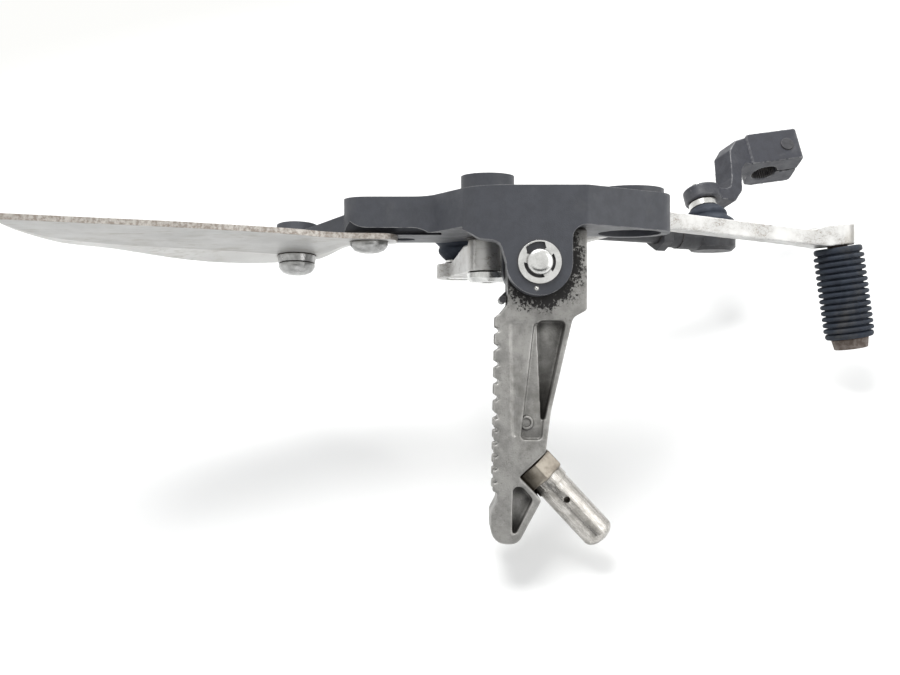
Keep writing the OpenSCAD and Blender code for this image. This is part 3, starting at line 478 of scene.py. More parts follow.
def build_finishes(looks):
    """Makes every finish that the pieces share, each a material with its plain name."""
    coat, bare, cast = (tuple(value) for value in (looks.coat_colour, looks.bare_colour, looks.cast_colour))
    rubber = tuple(looks.rubber_colour)
    brown = (0.055, 0.04, 0.026)
    black = (0.012, 0.011, 0.01)
    along_guard = (0.0, 0.0, 0.1)
    along_lever = (0.0, 0.0, 0.33)
    along_feeler = (0.0, -0.8, 0.0)
    finish(
        "satin coat", coat, tone(coat, 0.84), (0.42, 0.56), grain=Grain(3000.0, 0.25, 0.03),
        wear=Wear((0.26, 0.26, 0.26), 0.4, 0.25, 700.0, 0.3, 0.0), dirt_and_shade=DirtAndShade(brown, 2.5, 0.35),
        stain=Stain((0.12, 0.12, 0.12), 0.25), specular=0.45,
    )
    # The guard's flange: a lighter copy of the guard's aluminium, painted light
    finish(
        "brushed aluminium painted lit", bare, tone(bare, 0.93), (0.34, 0.46), 0.6, mottle=45.0,
        scuffs=Scuffs((0.36, 0.34, 0.3), 0.35, 210.0, along_guard), dirt_and_shade=DirtAndShade(brown, 1.4, 0.6),
        stain=Stain((0.42, 0.4, 0.36), 0.35), brushed=0.05,
        wear=Wear((0.16, 0.13, 0.1), 0.55, 0.5, 420.0, 0.3, 0.0),
    )
    finish(
        "bare forged aluminium", tone(bare, 0.9), tone(bare, 0.72), (0.28, 0.42), 0.66,
        mottle=70.0, scuffs=Scuffs((0.2, 0.17, 0.14), 0.42, 300.0, along_lever), dirt_and_shade=DirtAndShade(brown, 2.0, 0.8),
        stain=Stain((0.33, 0.3, 0.25), 0.55), brushed=0.06, grain=Grain(1900.0, 0.3, 0.016),
        wear=Wear((0.85, 0.84, 0.82), 0.5, 0.2, 500.0, 0.8, 0.7),
    )
    # The footrest's near-black corner darkening paints the shade in its deep pockets, together with dirt
    finish(
        "cast aluminium", cast, tone(cast, 0.66), (0.38, 0.56), 0.6, mottle=130.0,
        grain=Grain(2100.0, 0.5, 0.05), wear=Wear((0.56, 0.55, 0.53), 0.5, 0.6, 600.0, 0.8, 0.35),
        dirt_and_shade=DirtAndShade((0.03, 0.028, 0.025), 4.5, 0.85), stain=Stain((0.13, 0.125, 0.11), 0.6),
        # Its ring about the pin paints the shade around the ear, with speckled soot
        pits=Pits((0.08, 0.07, 0.06), 0.35), soot_and_shade=SootAndShade(PEG_AXIS, 11.0, 20.0, (0.012, 0.011, 0.011), 0.97),
    )
    finish(
        "turned aluminium", (0.5, 0.48, 0.45), (0.34, 0.325, 0.3), (0.2, 0.36), 0.85, mottle=260.0,
        scuffs=Scuffs((0.75, 0.73, 0.7), 0.8, 420.0, along_feeler), dirt_and_shade=DirtAndShade(brown, 1.6, 0.9),
        stain=Stain((0.16, 0.14, 0.11), 0.5), grain=Grain(2400.0, 0.2, 0.02),
    )
    finish(
        "scraped hexagon", (0.36, 0.325, 0.275), (0.23, 0.2, 0.165), (0.3, 0.48), 0.75, mottle=260.0,
        wear=Wear((0.8, 0.78, 0.74), 0.45, 0.0, 700.0, 0.9, 0.0), dirt_and_shade=DirtAndShade(brown, 1.6, 0.9),
        stain=Stain((0.14, 0.115, 0.09), 0.6), grain=Grain(2000.0, 0.4, 0.03),
    )
    finish(
        "bright steel", (0.72, 0.72, 0.71), (0.58, 0.58, 0.57), (0.16, 0.3), 0.95, mottle=320.0,
        dirt_and_shade=DirtAndShade(brown, 1.0, 0.8), stain=Stain((0.32, 0.3, 0.26), 0.3), grain=Grain(3200.0, 0.2, 0.01),
    )
    # The guard's sheet: a darker copy of the same aluminium, painted shade
    finish(
        "scuffed sheet painted shaded", tone(bare, 0.76), tone(bare, 0.68), (0.38, 0.5), 0.55, mottle=60.0,
        scuffs=Scuffs((0.3, 0.28, 0.24), 0.45, 210.0, along_guard), dirt_and_shade=DirtAndShade(brown, 1.4, 0.7),
        stain=Stain((0.3, 0.28, 0.24), 0.3), brushed=0.05,
        wear=Wear((0.13, 0.1, 0.075), 0.9, 0.1, 420.0, 0.2, 0.0),
    )
    finish(
        "scraped edge", (0.55, 0.52, 0.48), (0.29, 0.25, 0.215), (0.4, 0.6), 0.5, mottle=900.0,
        stain=Stain((0.2, 0.165, 0.135), 0.5), grain=Grain(1900.0, 0.4, 0.03),
    )
    finish(
        "plated steel", (0.45, 0.45, 0.445), (0.32, 0.32, 0.315), (0.24, 0.4), 0.9, mottle=320.0,
        dirt_and_shade=DirtAndShade(brown, 2.2, 0.9), stain=Stain((0.2, 0.19, 0.17), 0.5), grain=Grain(3000.0, 0.2, 0.012),
    )
    finish(
        "blackened steel", (0.07, 0.07, 0.075), (0.045, 0.045, 0.05), (0.34, 0.5), 0.5, mottle=420.0,
        wear=Wear((0.34, 0.33, 0.31), 0.35, 0.0, 900.0, 0.8, 0.0), stain=Stain((0.14, 0.135, 0.12), 0.4),
    )
    finish(
        "rusty steel", (0.2, 0.17, 0.15), (0.11, 0.085, 0.07), (0.55, 0.8), 0.35, mottle=520.0,
        grain=Grain(2200.0, 0.8, 0.08), dirt_and_shade=DirtAndShade((0.13, 0.08, 0.055), 1.5, 0.6),
        stain=Stain((0.14, 0.085, 0.06), 0.7),
    )
    finish(
        "bearing bronze", (0.42, 0.3, 0.15), (0.3, 0.2, 0.1), (0.35, 0.5), 0.8, dirt_and_shade=DirtAndShade(black, 1.0, 0.8),
    )
    finish(
        "dull rubber", rubber, tone(rubber, 0.7), (0.6, 0.78), mottle=300.0,
        grain=Grain(2400.0, 0.4, 0.03), wear=Wear(tone(rubber, 2.3), 0.35, 0.2, 900.0, 0.0, 0.0),
        stain=Stain((0.09, 0.085, 0.075), 0.4), specular=0.35,
    )
    finish(
        "satin black", (0.035, 0.036, 0.04), (0.022, 0.022, 0.025), (0.4, 0.58), mottle=240.0,
        grain=Grain(2200.0, 0.3, 0.02), wear=Wear((0.2, 0.19, 0.18), 0.35, 0.3, 900.0, 0.5, 0.0),
        dirt_and_shade=DirtAndShade(brown, 1.5, 0.5), stain=Stain((0.09, 0.08, 0.07), 0.3),
    )
    finish(
        "dark grey coat", (0.03, 0.032, 0.042), (0.02, 0.021, 0.029), (0.36, 0.55), mottle=200.0,
        grain=Grain(1900.0, 0.5, 0.035), wear=Wear((0.3, 0.3, 0.3), 0.4, 0.3, 600.0, 0.4, 0.9),
        dirt_and_shade=DirtAndShade(brown, 2.0, 0.4), stain=Stain((0.095, 0.095, 0.1), 0.55),
    )


# Where the turned pieces stand


def turned(axis, degrees):
    return Matrix.Rotation(math.radians(degrees), 4, axis)


PIVOT = Vector(JOINTS["lever_pivot"]["pos_m"])
LEVER_HEADING = 18.8
TOE_LEAN = 8.8
TOE_PLACE = (
    Matrix.Translation((PIVOT.x, PIVOT.y, 0.0)) @ turned("Z", LEVER_HEADING)
    @ Matrix.Translation(mm(152.0, 0.0, -13.6)) @ turned("Y", -TOE_LEAN) @ turned("X", 180.0)
)
TOE_LENGTH = 37.5
TOE_RADIUS = 9.9
TOE_RIBS = 13
TOE_BORE = 4.05
# One rib of the toe rubber, as its share of the pitch and how far it lies inside the full radius
TOE_RIB = (
    (0.0, 1.75), (0.1, 1.65), (0.17, 0.75), (0.26, 0.22), (0.42, 0.0), (0.64, 0.0), (0.8, 0.22), (0.89, 0.75),
    (0.96, 1.65),
)

REAR_BALL = Vector(JOINTS["rear_ball"]["pos_m"])
FRONT_BALL = Vector(JOINTS["front_ball"]["pos_m"])
ROD_HEADING = math.degrees(math.atan2(FRONT_BALL.y - REAR_BALL.y, FRONT_BALL.x - REAR_BALL.x))
# Degrees that a boot's stud leans from its case, and the height where the boot ends on the stud
BOOT_LEAN = {"rear": 0.0, "front": -20.0}
CASE_PLACES = {
    "rear": Matrix.Translation(REAR_BALL) @ turned("Z", ROD_HEADING) @ turned("X", 180.0),
    "front": Matrix.Translation(FRONT_BALL) @ turned("Z", ROD_HEADING),
}
STUD_PLACES = {end: CASE_PLACES[end] @ turned("X", BOOT_LEAN[end]) for end in CASE_PLACES}
BOOT_TOPS = {"rear": 15.35, "front": 14.35}
CASE_TOP = 6.05
STUD_RADIUS = 3.25


def curve(p, q, r, s, t):
    """The smooth curve's value at the share t of the way from q to r, of four values in a row."""
    square = 2 * p - 5 * q + 4 * r - s
    cube = 3 * q - p - 3 * r + s
    return 0.5 * (2 * q + (r - p) * t + square * t * t + cube * t ** 3)


def smooth_profile(points, steps=5):
    """Runs a smooth curve through points of any number of values, such as (radius, height)."""
    out = []
    last = len(points) - 1
    for i in range(last):
        a, b, c, d = (points[max(0, min(last, k))] for k in (i - 1, i, i + 1, i + 2))
        for j in range(steps):
            t = j / steps
            out.append(tuple(curve(*values, t) for values in zip(a, b, c, d)))
    out.append(points[-1])
    return out


def wobble(bm, amount, scale):
    """Moves each point a little along its normal, so that moulded rubber isn't perfect."""
    bm.normal_update()
    for vert in bm.verts:
        vert.co += vert.normal * (noise.noise(vert.co * scale) * amount * MM)


def toe_rubber_mesh():
    """The ribbed rubber: two end rings and rounded ribs with narrow grooves between them."""
    profile = [(TOE_BORE, 0.25), (TOE_RADIUS - 1.6, 0.25), (TOE_RADIUS - 0.75, 0.5), (TOE_RADIUS - 0.4, 1.1)]
    profile += [(TOE_RADIUS - 0.4, 2.1), (TOE_RADIUS - 0.7, 2.6)]
    first, last = 3.1, TOE_LENGTH - 2.5
    pitch = (last - first) / TOE_RIBS
    for rib in range(TOE_RIBS):
        low = first + rib * pitch
        for along, out in TOE_RIB:
            profile.append((TOE_RADIUS - out, low + along * pitch))
    profile += [(TOE_RADIUS - 1.7, last), (TOE_RADIUS - 0.7, last + 0.35), (TOE_RADIUS - 0.35, last + 0.9)]
    profile += [(TOE_RADIUS - 0.35, TOE_LENGTH - 0.9), (TOE_RADIUS - 0.8, TOE_LENGTH - 0.2)]
    profile += [(TOE_RADIUS - 1.6, TOE_LENGTH), (TOE_BORE, TOE_LENGTH)]
    bm = bmesh.new()
    lathe(bm, profile, TOE_PLACE, 80)
    wobble(bm, 0.07, 260.0)
    return bm


BOOT_FOOT = 5.9
BOOT_OUTLINE = (
    (9.9, 0.0), (10.45, 0.1), (10.35, 0.22), (9.2, 0.34), (8.5, 0.44), (8.85, 0.55), (8.7, 0.68), (7.6, 0.83),
    (6.4, 0.95), (5.8, 1.0),
)


def boot_mesh(end):
    """A bellows boot: it stands level on the case, bulges, is drawn in, and leans over to the stud."""
    outline = [(BOOT_FOOT, 0.0), *smooth_profile(BOOT_OUTLINE)]
    outline += [(STUD_RADIUS, 1.0), (STUD_RADIUS, 0.86), (BOOT_FOOT, 0.4)]
    foot = CASE_PLACES[end] @ Matrix.Translation(mm(0, 0, CASE_TOP))
    head = STUD_PLACES[end] @ Matrix.Translation(mm(0, 0, BOOT_TOPS[end]))
    bm = bmesh.new()
    steps = 72
    rings = []
    for radius, along in outline:
        ring = []
        for i in range(steps):
            spot = round_point(radius, math.tau * i / steps, 0)
            ring.append(bm.verts.new((foot @ spot).lerp(head @ spot, along)))
        rings.append(ring)
    for low, high in zip(rings, rings[1:] + rings[:1]):
        for i in range(steps):
            k = (i + 1) % steps
            bm.faces.new((low[i], low[k], high[k], high[i]))
    wobble(bm, 0.12, 180.0)
    return bm


def turned_piece(name, bm, node, material, angle=40):
    """A piece of the scene's own shape, which stands for a node."""
    bmesh.ops.recalc_face_normals(bm, faces=bm.faces)
    piece = new_object(name, bm, BODY_OF[node], (node,))
    shade(piece, angle)
    piece.data.materials.append(material)
    return piece


def small_piece(name, bm, body, material, angle=50):
    """A small piece that the scene adds; it rides with one node's body and replaces none."""
    piece = new_object(name, bm, BODY_OF[body])
    shade(piece, angle)
    piece.data.materials.append(material)
    return piece


BORE_RADIUS = 6.2
SPLINE_TEETH = 32
SPLINE_DEPTH = 0.55
SPLINE_GAP = 13.0
ARM_LENGTH = 48.0
BLOCK_SEAT = 38.7
BLOCK_HEIGHT = 15.5
ARM_FOOT = STUD_PLACES["front"] @ turned("Z", 5.0)
ARM_PLACE = ARM_FOOT @ Matrix.Translation(mm(ARM_LENGTH, 0.0, BLOCK_SEAT)) @ turned("Z", -30.0)


def spline_mesh():
    """The splines in the clamp's bore: a thin toothed liner with the clamp's slit left open."""
    bm = bmesh.new()
    start, sweep = math.radians(SPLINE_GAP), math.tau - 2 * math.radians(SPLINE_GAP)
    count = SPLINE_TEETH * 4
    lines = []
    for i in range(count + 1):
        turn = start + sweep * i / count
        inner = BORE_RADIUS - (SPLINE_DEPTH if i % 4 in (1, 2) else 0.06)
        outer = BORE_RADIUS + 0.1
        profile = [(outer, 0.5), (inner + 0.2, 0.5), (inner, 0.9), (inner, BLOCK_HEIGHT - 0.9)]
        profile += [(inner + 0.2, BLOCK_HEIGHT - 0.5), (outer, BLOCK_HEIGHT - 0.5)]
        line = [ARM_PLACE @ round_point(radius, turn, height) for radius, height in profile]
        lines.append([bm.verts.new(spot) for spot in line])
    for a, b in zip(lines, lines[1:]):
        for j in range(len(a) - 1):
            bm.faces.new((a[j], a[j + 1], b[j + 1], b[j]))
    bmesh.ops.recalc_face_normals(bm, faces=bm.faces)
    return bm


# Metal in the footrest's tread pocket, its tip pocket and the notch beside the feeler
PEG_FILLS = (
    (0.9, 19.1, ((-43.6, -46.6), (-37.0, -46.6), (-40.8, -86.2), (-42.6, -86.2))),
    (4.3, 15.6, (
        (-43.2, -101.0), (-39.6, -101.0), (-35.4, -105.2), (-36.2, -108.0), (-40.6, -117.6), (-43.2, -117.6),
    )),
    (3.0, 9.5, ((-40.6, -99.6), (-38.0, -95.6), (-31.8, -102.8), (-33.7, -106.2))),
)
# Places of the scene's small pieces, in millimetres
MARK_PLACE = (-37.4, -17.3, -80.7)
PIN_END = (PEG_AXIS[0], -30.0, PEG_AXIS[2])
TAIL_PLACE = (-34.7, -27.0, -36.3)
FEELER_FOOT = (-30.9, -10.0, -98.9)
FEELER_TURN = 137.0
SPRING_SWELL = 0.25
HEX_FLATS = 13.4


def knob(place, profile, steps):
    """A small turned shape that stands on a place and looks toward the photo's side."""
    bm = bmesh.new()
    lathe(bm, profile, Matrix.Translation(mm(*place)) @ turned("X", 90.0), steps)
    bmesh.ops.recalc_face_normals(bm, faces=bm.faces)
    return bm


def casting_mark_mesh():
    """The plain round mark that a casting's ejector leaves on the floor of a pocket."""
    profile = ((1.4, -0.8), (1.4, 0.5), (1.7, 0.8), (2.1, 0.8), (2.45, 0.5), (2.45, -0.8))
    return knob(MARK_PLACE, profile, 48)


def pin_dome_mesh():
    """The domed end of the clevis pin, in the middle of its clip."""
    profile = ((0.0, -0.8), (4.15, -0.8), (4.2, 0.3), (4.05, 0.75), (3.6, 1.1), (2.4, 1.35), (0.0, 1.45))
    return knob(PIN_END, profile, 64)


def feeler_hex_mesh():
    """The hexagon that the feeler is tightened by, with one corner toward the peg's near face."""
    place = Matrix.Translation(mm(*FEELER_FOOT)) @ turned("Y", FEELER_TURN)
    bm = bmesh.new()
    corner = HEX_FLATS / math.sqrt(3.0)
    rings = []
    for radius, along in ((corner, -5.6), (corner, 0.5), (corner - 0.55, 1.0)):
        ring = []
        for i in range(6):
            turn = math.radians(60.0 * i - 90.0)
            ring.append(bm.verts.new(place @ round_point(radius, turn, along)))
        rings.append(ring)
    for low, high in zip(rings, rings[1:]):
        for i in range(6):
            k = (i + 1) % 6
            bm.faces.new((low[i], low[k], high[k], high[i]))
    bm.faces.new(rings[0][::-1])
    bm.faces.new(rings[-1])
    bmesh.ops.recalc_face_normals(bm, faces=bm.faces)
    return bm


def spring_tail_mesh():
    """The end of the spring's still leg, which shows in the ear's small hole."""
    return knob(TAIL_PLACE, ((0.0, 0.0), (0.76, 0.0), (0.76, 0.9), (0.55, 1.2), (0.0, 1.3)), 24)


# The shift arm's ring: its offset along the arm, outer and hole radius, low and high end
RING = (1.2, 8.3, 3.1, 17.5, 24.2)
RING_EDGE = 0.7
# The folded strap from the side, as (distance from the stud, height) points, and half its width
STRAP_HALF = 5.4
STRAP = (
    (6.0, 17.7), (16.5, 17.7), (22.5, 23.5), (26.0, 34.5), (30.0, 38.8), (41.0, 38.8), (41.0, 54.0),
    (35.0, 53.2), (27.0, 50.3), (21.5, 44.5), (18.0, 30.0), (15.5, 24.8), (12.0, 23.5), (6.0, 23.5),
)
# The clamp block's outline about its bore, from one side of the slit round to the other
SLIT_HALF = 0.6
BLOCK_END = 16.0
BLOCK_CORNERS = (
    (BLOCK_END, 10.8), (14.8, 12.0), (-3.5, 12.0), (-7.2, 10.2), (-8.6, 6.5), (-8.6, -12.0), (14.8, -12.0),
    (BLOCK_END, -10.8),
)


def shift_arm_mesh():
    """The arm: a ring on the stud, a folded strap and a split clamp block."""
    bm = bmesh.new()
    offset, outer, hole, low, high = RING
    profile = [(hole, low), (outer - RING_EDGE, low), (outer, low + RING_EDGE)]
    profile += [(outer, high - RING_EDGE), (outer - RING_EDGE, high), (hole, high)]
    lathe(bm, profile + profile[:1], ARM_FOOT @ Matrix.Translation(mm(offset, 0, 0)), 64)
    bmesh.ops.remove_doubles(bm, verts=bm.verts, dist=1e-7)
    prism(bm, STRAP, ARM_FOOT @ turned("X", 90.0), -STRAP_HALF, STRAP_HALF)
    gap = math.asin(SLIT_HALF / BORE_RADIUS)
    bore = []
    for i in range(73):
        turn = gap + (math.tau - 2 * gap) * i / 72
        bore.append((BORE_RADIUS * math.cos(turn), BORE_RADIUS * math.sin(turn)))
    outline = [(BLOCK_END, -SLIT_HALF), *reversed(bore), (BLOCK_END, SLIT_HALF), *BLOCK_CORNERS]
    prism(bm, outline, ARM_PLACE, 0.0, BLOCK_HEIGHT)
    bmesh.ops.recalc_face_normals(bm, faces=bm.faces)
    return bm


# The heel guard: stations along it, as x, near edge, crease, far edge and the drop of its bent edge
GUARD_STATIONS = (
    (-82.0, 4.0, 9.0, 14.0, 0.0), (-85.0, -0.6, 12.0, 18.0, 0.0), (-97.0, -2.5, 16.0, 22.0, 0.0),
    (-109.0, -6.0, 30.0, 35.0, 0.2), (-121.0, -11.0, 31.0, 39.5, 0.9), (-141.0, -17.5, 24.0, 36.0, 2.3),
    (-162.0, -23.5, 16.8, 28.5, 2.2), (-185.0, -29.0, 8.6, 14.5, 0.7), (-201.0, -33.0, -3.0, 5.0, 0.2),
    (-208.5, -34.5, -20.0, -14.0, 0.0), (-210.0, -33.0, -30.0, -27.0, 0.0),
)
# Its top face at its first screw, where that screw stands, and how the sheet drops and slopes beyond it
GUARD_SEAT = -15.3
GUARD_FIRST = (-92.0, 8.5)
GUARD_DROP = 0.8
GUARD_SLOPE = 0.084
GUARD_SHEET = 2.0
GUARD_STEPS = 6
GUARD_ROWS = (14, 6)
# The sheet takes a darker copy of the guard's aluminium, painted shade, and the bent flange a lighter copy,
# painted light
GUARD_SHADED_SHEET_SLOT, GUARD_LIT_FLANGE_SLOT, GUARD_RIM_SLOT = 0, 1, 2


def eased(value):
    value = max(0.0, min(1.0, value))
    return value * value * (3.0 - 2.0 * value)


def guard_mesh():
    """The guard's sheet: flat on its screw, tilted beyond it, with its front edge bent along a crease."""
    lines = smooth_profile(GUARD_STATIONS, GUARD_STEPS)
    before, beyond = GUARD_ROWS
    bm = bmesh.new()
    skins = []
    for low in (0.0, GUARD_SHEET):
        skin = []
        for x, near, crease, far, drop in lines:
            away = eased((GUARD_FIRST[0] - 8.0 - x) / 14.0)
            spots = [(near + (crease - near) * i / before, 0.0) for i in range(before)]
            spots += [(crease + (far - crease) * i / beyond, i / beyond) for i in range(beyond + 1)]
            row = []
            for y, bent in spots:
                z = GUARD_SEAT - away * (GUARD_DROP + GUARD_SLOPE * (y - GUARD_FIRST[1])) - drop * bent
                row.append(bm.verts.new(mm(x, y, z - low)))
            skin.append(row)
        skins.append(skin)
    top, bottom = skins
    for i in range(len(lines) - 1):
        for j in range(before + beyond):
            upper = bm.faces.new((top[i][j], top[i][j + 1], top[i + 1][j + 1], top[i + 1][j]))
            lower = bm.faces.new((bottom[i][j], bottom[i + 1][j], bottom[i + 1][j + 1], bottom[i][j + 1]))
            index = GUARD_LIT_FLANGE_SLOT if j >= before else GUARD_SHADED_SHEET_SLOT
            upper.material_index = lower.material_index = index
    rim, under = (
        [row[0] for row in skin] + skin[-1][1:] + [row[-1] for row in reversed(skin[:-1])] + skin[0][-2:0:-1]
        for skin in skins
    )
    for i in range(len(rim)):
        k = (i + 1) % len(rim)
        bm.faces.new((rim[i], rim[k], under[k], under[i])).material_index = GUARD_RIM_SLOT
    return bm


# The guard's screws: place, seat under the sheet and thickness of the washer, in millimetres
GUARD_SCREWS = ((*GUARD_FIRST, -17.32, 0.0), (-121.0, 32.0, -20.0, 3.4))
SCREW_HEAD = 6.8
SCREW_DOME = (
    (SCREW_HEAD, 0.1), (SCREW_HEAD, 1.1), (SCREW_HEAD - 0.5, 2.1), (5.3, 3.2), (3.6, 3.9), (1.7, 4.2),
    (0.0, 4.25),
)


def guard_screw_mesh():
    """Two domed screws; the far one has a thick washer under its head."""
    bm = bmesh.new()
    for x, y, seat, washer in GUARD_SCREWS:
        tilt = math.degrees(math.atan(GUARD_SLOPE)) if washer else 0.0
        place = Matrix.Translation(mm(x, y, seat)) @ turned("X", -tilt) @ turned("X", 180.0)
        profile = [(0.0, -1.0), (2.9, -1.0), (2.9, 0.0)]
        if washer:
            profile += [(SCREW_HEAD + 0.2, 0.05), (SCREW_HEAD + 0.5, 0.5), (SCREW_HEAD + 0.1, washer - 0.4)]
            profile += [(SCREW_HEAD - 0.5, washer), (SCREW_HEAD - 0.8, washer + 0.2)]
        profile += [(radius, washer + along) for radius, along in SCREW_DOME]
        lathe(bm, profile, place, 64)
    return bm


# The stage

# Three points of the table's top in millimetres, clear of the part at every joint's limit
FLOOR_POINTS = ((-45.0, -2.1, -131.4), (100.5, 77.8, -70.3), (91.9, 190.0, 1.4))
FLOOR_SPAN = (1.5, 1.5)
TABLE_GLOW = 0.32
PALE = (0.985, 0.985, 0.965, 1.0)
CARD_PLACE = (0.0, -0.75, -0.42)
CARD_TILT = 75.0
CARD_SIZE = (0.9, 0.4)
# Lamps: name, place, target, size and power, in metres and watts
LAMPS = (
    ("window", (-0.3, -0.45, 0.85), (0, 0, 0), (0.55, 0.45), 9.0),
    ("ceiling", (0.25, 0.2, 0.95), (0, 0.02, 0), (1.1, 0.9), 7.0),
    ("fill", (0.6, -0.5, 0.1), (0, 0, -0.03), (0.7, 0.7), 2.2),
)
ROOM_COLOUR = (0.93, 0.95, 1.0, 1.0)
ROOM_LEVEL = 0.55


def build_floor():
    """The pale table below the part, which no joint's travel passes through."""
    a, b, c = (mm(*point) for point in FLOOR_POINTS)
    up = (b - a).cross(c - a).normalized()
    if up.y > 0:
        up = -up
    across = (Vector((1, 0, 0)) - up * up.x).normalized()
    away = up.cross(across)
    centre = (a + b + c) / 3 - up * 0.0005
    bm = bmesh.new()
    corners = [
        bm.verts.new(centre + across * (x * FLOOR_SPAN[0] / 2) + away * (y * FLOOR_SPAN[1] / 2))
        for x, y in ((-1, -1), (1, -1), (1, 1), (-1, 1))
    ]
    bm.faces.new(corners)
    mesh = bpy.data.meshes.new("table")
    bm.to_mesh(mesh)
    bm.free()
    table = bpy.data.objects.new("table", mesh)
    bpy.context.scene.collection.objects.link(table)
    table.data.materials.append(table_material())


def table_material():
    """White table top: it shows pale with the part's shadow on it, and fades out toward its edges."""
    material, tree, _ = fresh_material("white table")
    tree.nodes.clear()
    path = add(tree, "LightPath").outputs
    seen = maths(tree, "MAXIMUM", path["Is Camera Ray"], path["Is Glossy Ray"])
    table = add(tree, "BsdfDiffuse", {"Color": (0.62, 0.62, 0.61, 1.0)})
    glow = add(tree, "Emission", {"Color": PALE, "Strength": maths(tree, "MULTIPLY", seen, TABLE_GLOW)})
    lit = add(tree, "AddShader", {0: table.outputs[0], 1: glow.outputs[0]})
    centre = sum((mm(*point) for point in FLOOR_POINTS), Vector()) / 3
    away = add(tree, "VectorMath", {0: place_of(tree), 1: centre}, operation="DISTANCE").outputs["Value"]
    fade = band(tree, away, FLOOR_SPAN[0] * 0.3, FLOOR_SPAN[0] * 0.49)
    hidden = maths(tree, "MAXIMUM", fade, add(tree, "NewGeometry").outputs["Backfacing"])
    clear = add(tree, "BsdfTransparent")
    mixed = add(tree, "MixShader", {0: hidden, 1: lit.outputs[0], 2: clear.outputs[0]})
    tree.links.new(mixed.outputs[0], tree.nodes.new("ShaderNodeOutputMaterial").inputs[0])
    return material


def build_card():
    """A dark card low in front of the part, which gives its bright metal something dark to mirror."""
    tilt = (math.radians(CARD_TILT), 0.0, 0.0)
    bpy.ops.mesh.primitive_plane_add(size=1.0, location=CARD_PLACE, rotation=tilt)
    card = bpy.context.object
    card.name = "dark card"
    card.scale = (*CARD_SIZE, 1.0)
    material, _, shader = fresh_material("dark card")
    shader["Base Color"].default_value = (0.02, 0.02, 0.02, 1.0)
    shader["Roughness"].default_value = 0.9
    card.data.materials.append(material)
    card.visible_camera = False
    card.visible_diffuse = False


def soft_lamp(name, place, target, size, power):
    data = bpy.data.lights.new(name, "AREA")
    data.shape = "RECTANGLE"
    data.size, data.size_y = size
    data.energy = power
    lamp = bpy.data.objects.new(name, data)
    lamp.location = place
    lamp.rotation_euler = (Vector(target) - Vector(place)).to_track_quat("-Z", "Y").to_euler()
    bpy.context.scene.collection.objects.link(lamp)


def build_lamps(level):
    for name, place, target, size, power in LAMPS:
        soft_lamp(name, place, target, size, power * level)
    world = bpy.data.worlds.new("studio")
    bpy.context.scene.world = world
    world.use_nodes = True
    tree = world.node_tree
    tree.nodes.clear()
    path = add(tree, "LightPath").outputs
    shown = maths(tree, "MAXIMUM", path["Is Camera Ray"], path["Is Transmission Ray"])
    shown = maths(tree, "MAXIMUM", shown, path["Is Glossy Ray"])
    room = add(tree, "Background", {"Color": ROOM_COLOUR, "Strength": ROOM_LEVEL * level})
    backdrop = add(tree, "Background", {"Color": PALE, "Strength": 1.0})
    mixed = add(tree, "MixShader", {0: shown, 1: room.outputs[0], 2: backdrop.outputs[0]})
    tree.links.new(mixed.outputs[0], tree.nodes.new("ShaderNodeOutputWorld").inputs[0])


CAMERA_X = -63.0
CAMERA_Z = -59.7
CAMERA_LENS = 46.0
CAMERA_PITCH = 1.12


def build_camera(back):
    data = bpy.data.cameras.new("photo view")
    data.lens = CAMERA_LENS
    data.sensor_width = 36.0
    data.clip_start = 0.01
    camera = bpy.data.objects.new("photo view", data)
    camera.location = (CAMERA_X * MM, -back, CAMERA_Z * MM)
    camera.rotation_euler = (math.radians(90.0 + CAMERA_PITCH), 0.0, 0.0)
    bpy.context.scene.collection.objects.link(camera)
    bpy.context.scene.camera = camera


class RearSetSizes(bpy.types.PropertyGroup):
    """Sizes of the dressed pieces."""

    cast_edge: FloatProperty(
        name="Casting edge", description="Radius on the hanger's edges, in millimetres", default=0.8,
        min=0.1, max=2.0,
    )
    steel_edge: FloatProperty(
        name="Turned edge", description="Radius on the bolt, toe pin and feeler, in millimetres", default=0.3,
        min=0.05, max=0.8,
    )
    camera_back: FloatProperty(
        name="Camera distance", description="How far behind the hanger the camera stands, in metres",
        default=0.403, min=0.2, max=2.0, unit="LENGTH",
    )
    lamp_level: FloatProperty(
        name="Lamp level", description="Brightness of the lamps and the room against the plain level",
        default=1.0, min=0.2, max=3.0,
    )


class RearSetLooks(bpy.types.PropertyGroup):
    """Colours of the finishes."""

    coat_colour: FloatVectorProperty(
        name="Hanger coat", description="Satin coat of the hanger", subtype="COLOR",
        default=(0.055, 0.058, 0.068), min=0.0, max=1.0,
    )
    bare_colour: FloatVectorProperty(
        name="Bare aluminium", description="Bare metal of the guard and the lever", subtype="COLOR",
        default=(0.62, 0.615, 0.6), min=0.0, max=1.0,
    )
    cast_colour: FloatVectorProperty(
        name="Cast aluminium", description="Skin of the cast footrest", subtype="COLOR",
        default=(0.37, 0.362, 0.345), min=0.0, max=1.0,
    )
    rubber_colour: FloatVectorProperty(
        name="Rubber", description="Toe peg and boots", subtype="COLOR",
        default=(0.02, 0.027, 0.041), min=0.0, max=1.0,
    )


def sizes():
    return bpy.context.scene.rear_set_sizes


def finish_of(name):
    return bpy.data.materials[name]


class RearSetStep(bpy.types.Operator):
    """One step of the dressing."""

    bl_options = {"REGISTER", "UNDO"}

    def execute(self, context):
        self.make(context)
        return {"FINISHED"}


class REARSET_OT_finishes(RearSetStep):
    """Builds the shared effects and every finish"""

    bl_idname = "rear_set.finishes"
    bl_label = "Finishes"

    def make(self, context):
        build_groups()
        build_finishes(context.scene.rear_set_looks)


class REARSET_OT_hanger(RearSetStep):
    """Dresses the hanger casting in its satin coat"""

    bl_idname = "rear_set.hanger"
    bl_label = "Hanger"

    def make(self, context):
        dress("hanger_bracket", "hanger", sizes().cast_edge, finish_of("satin coat"), 3)


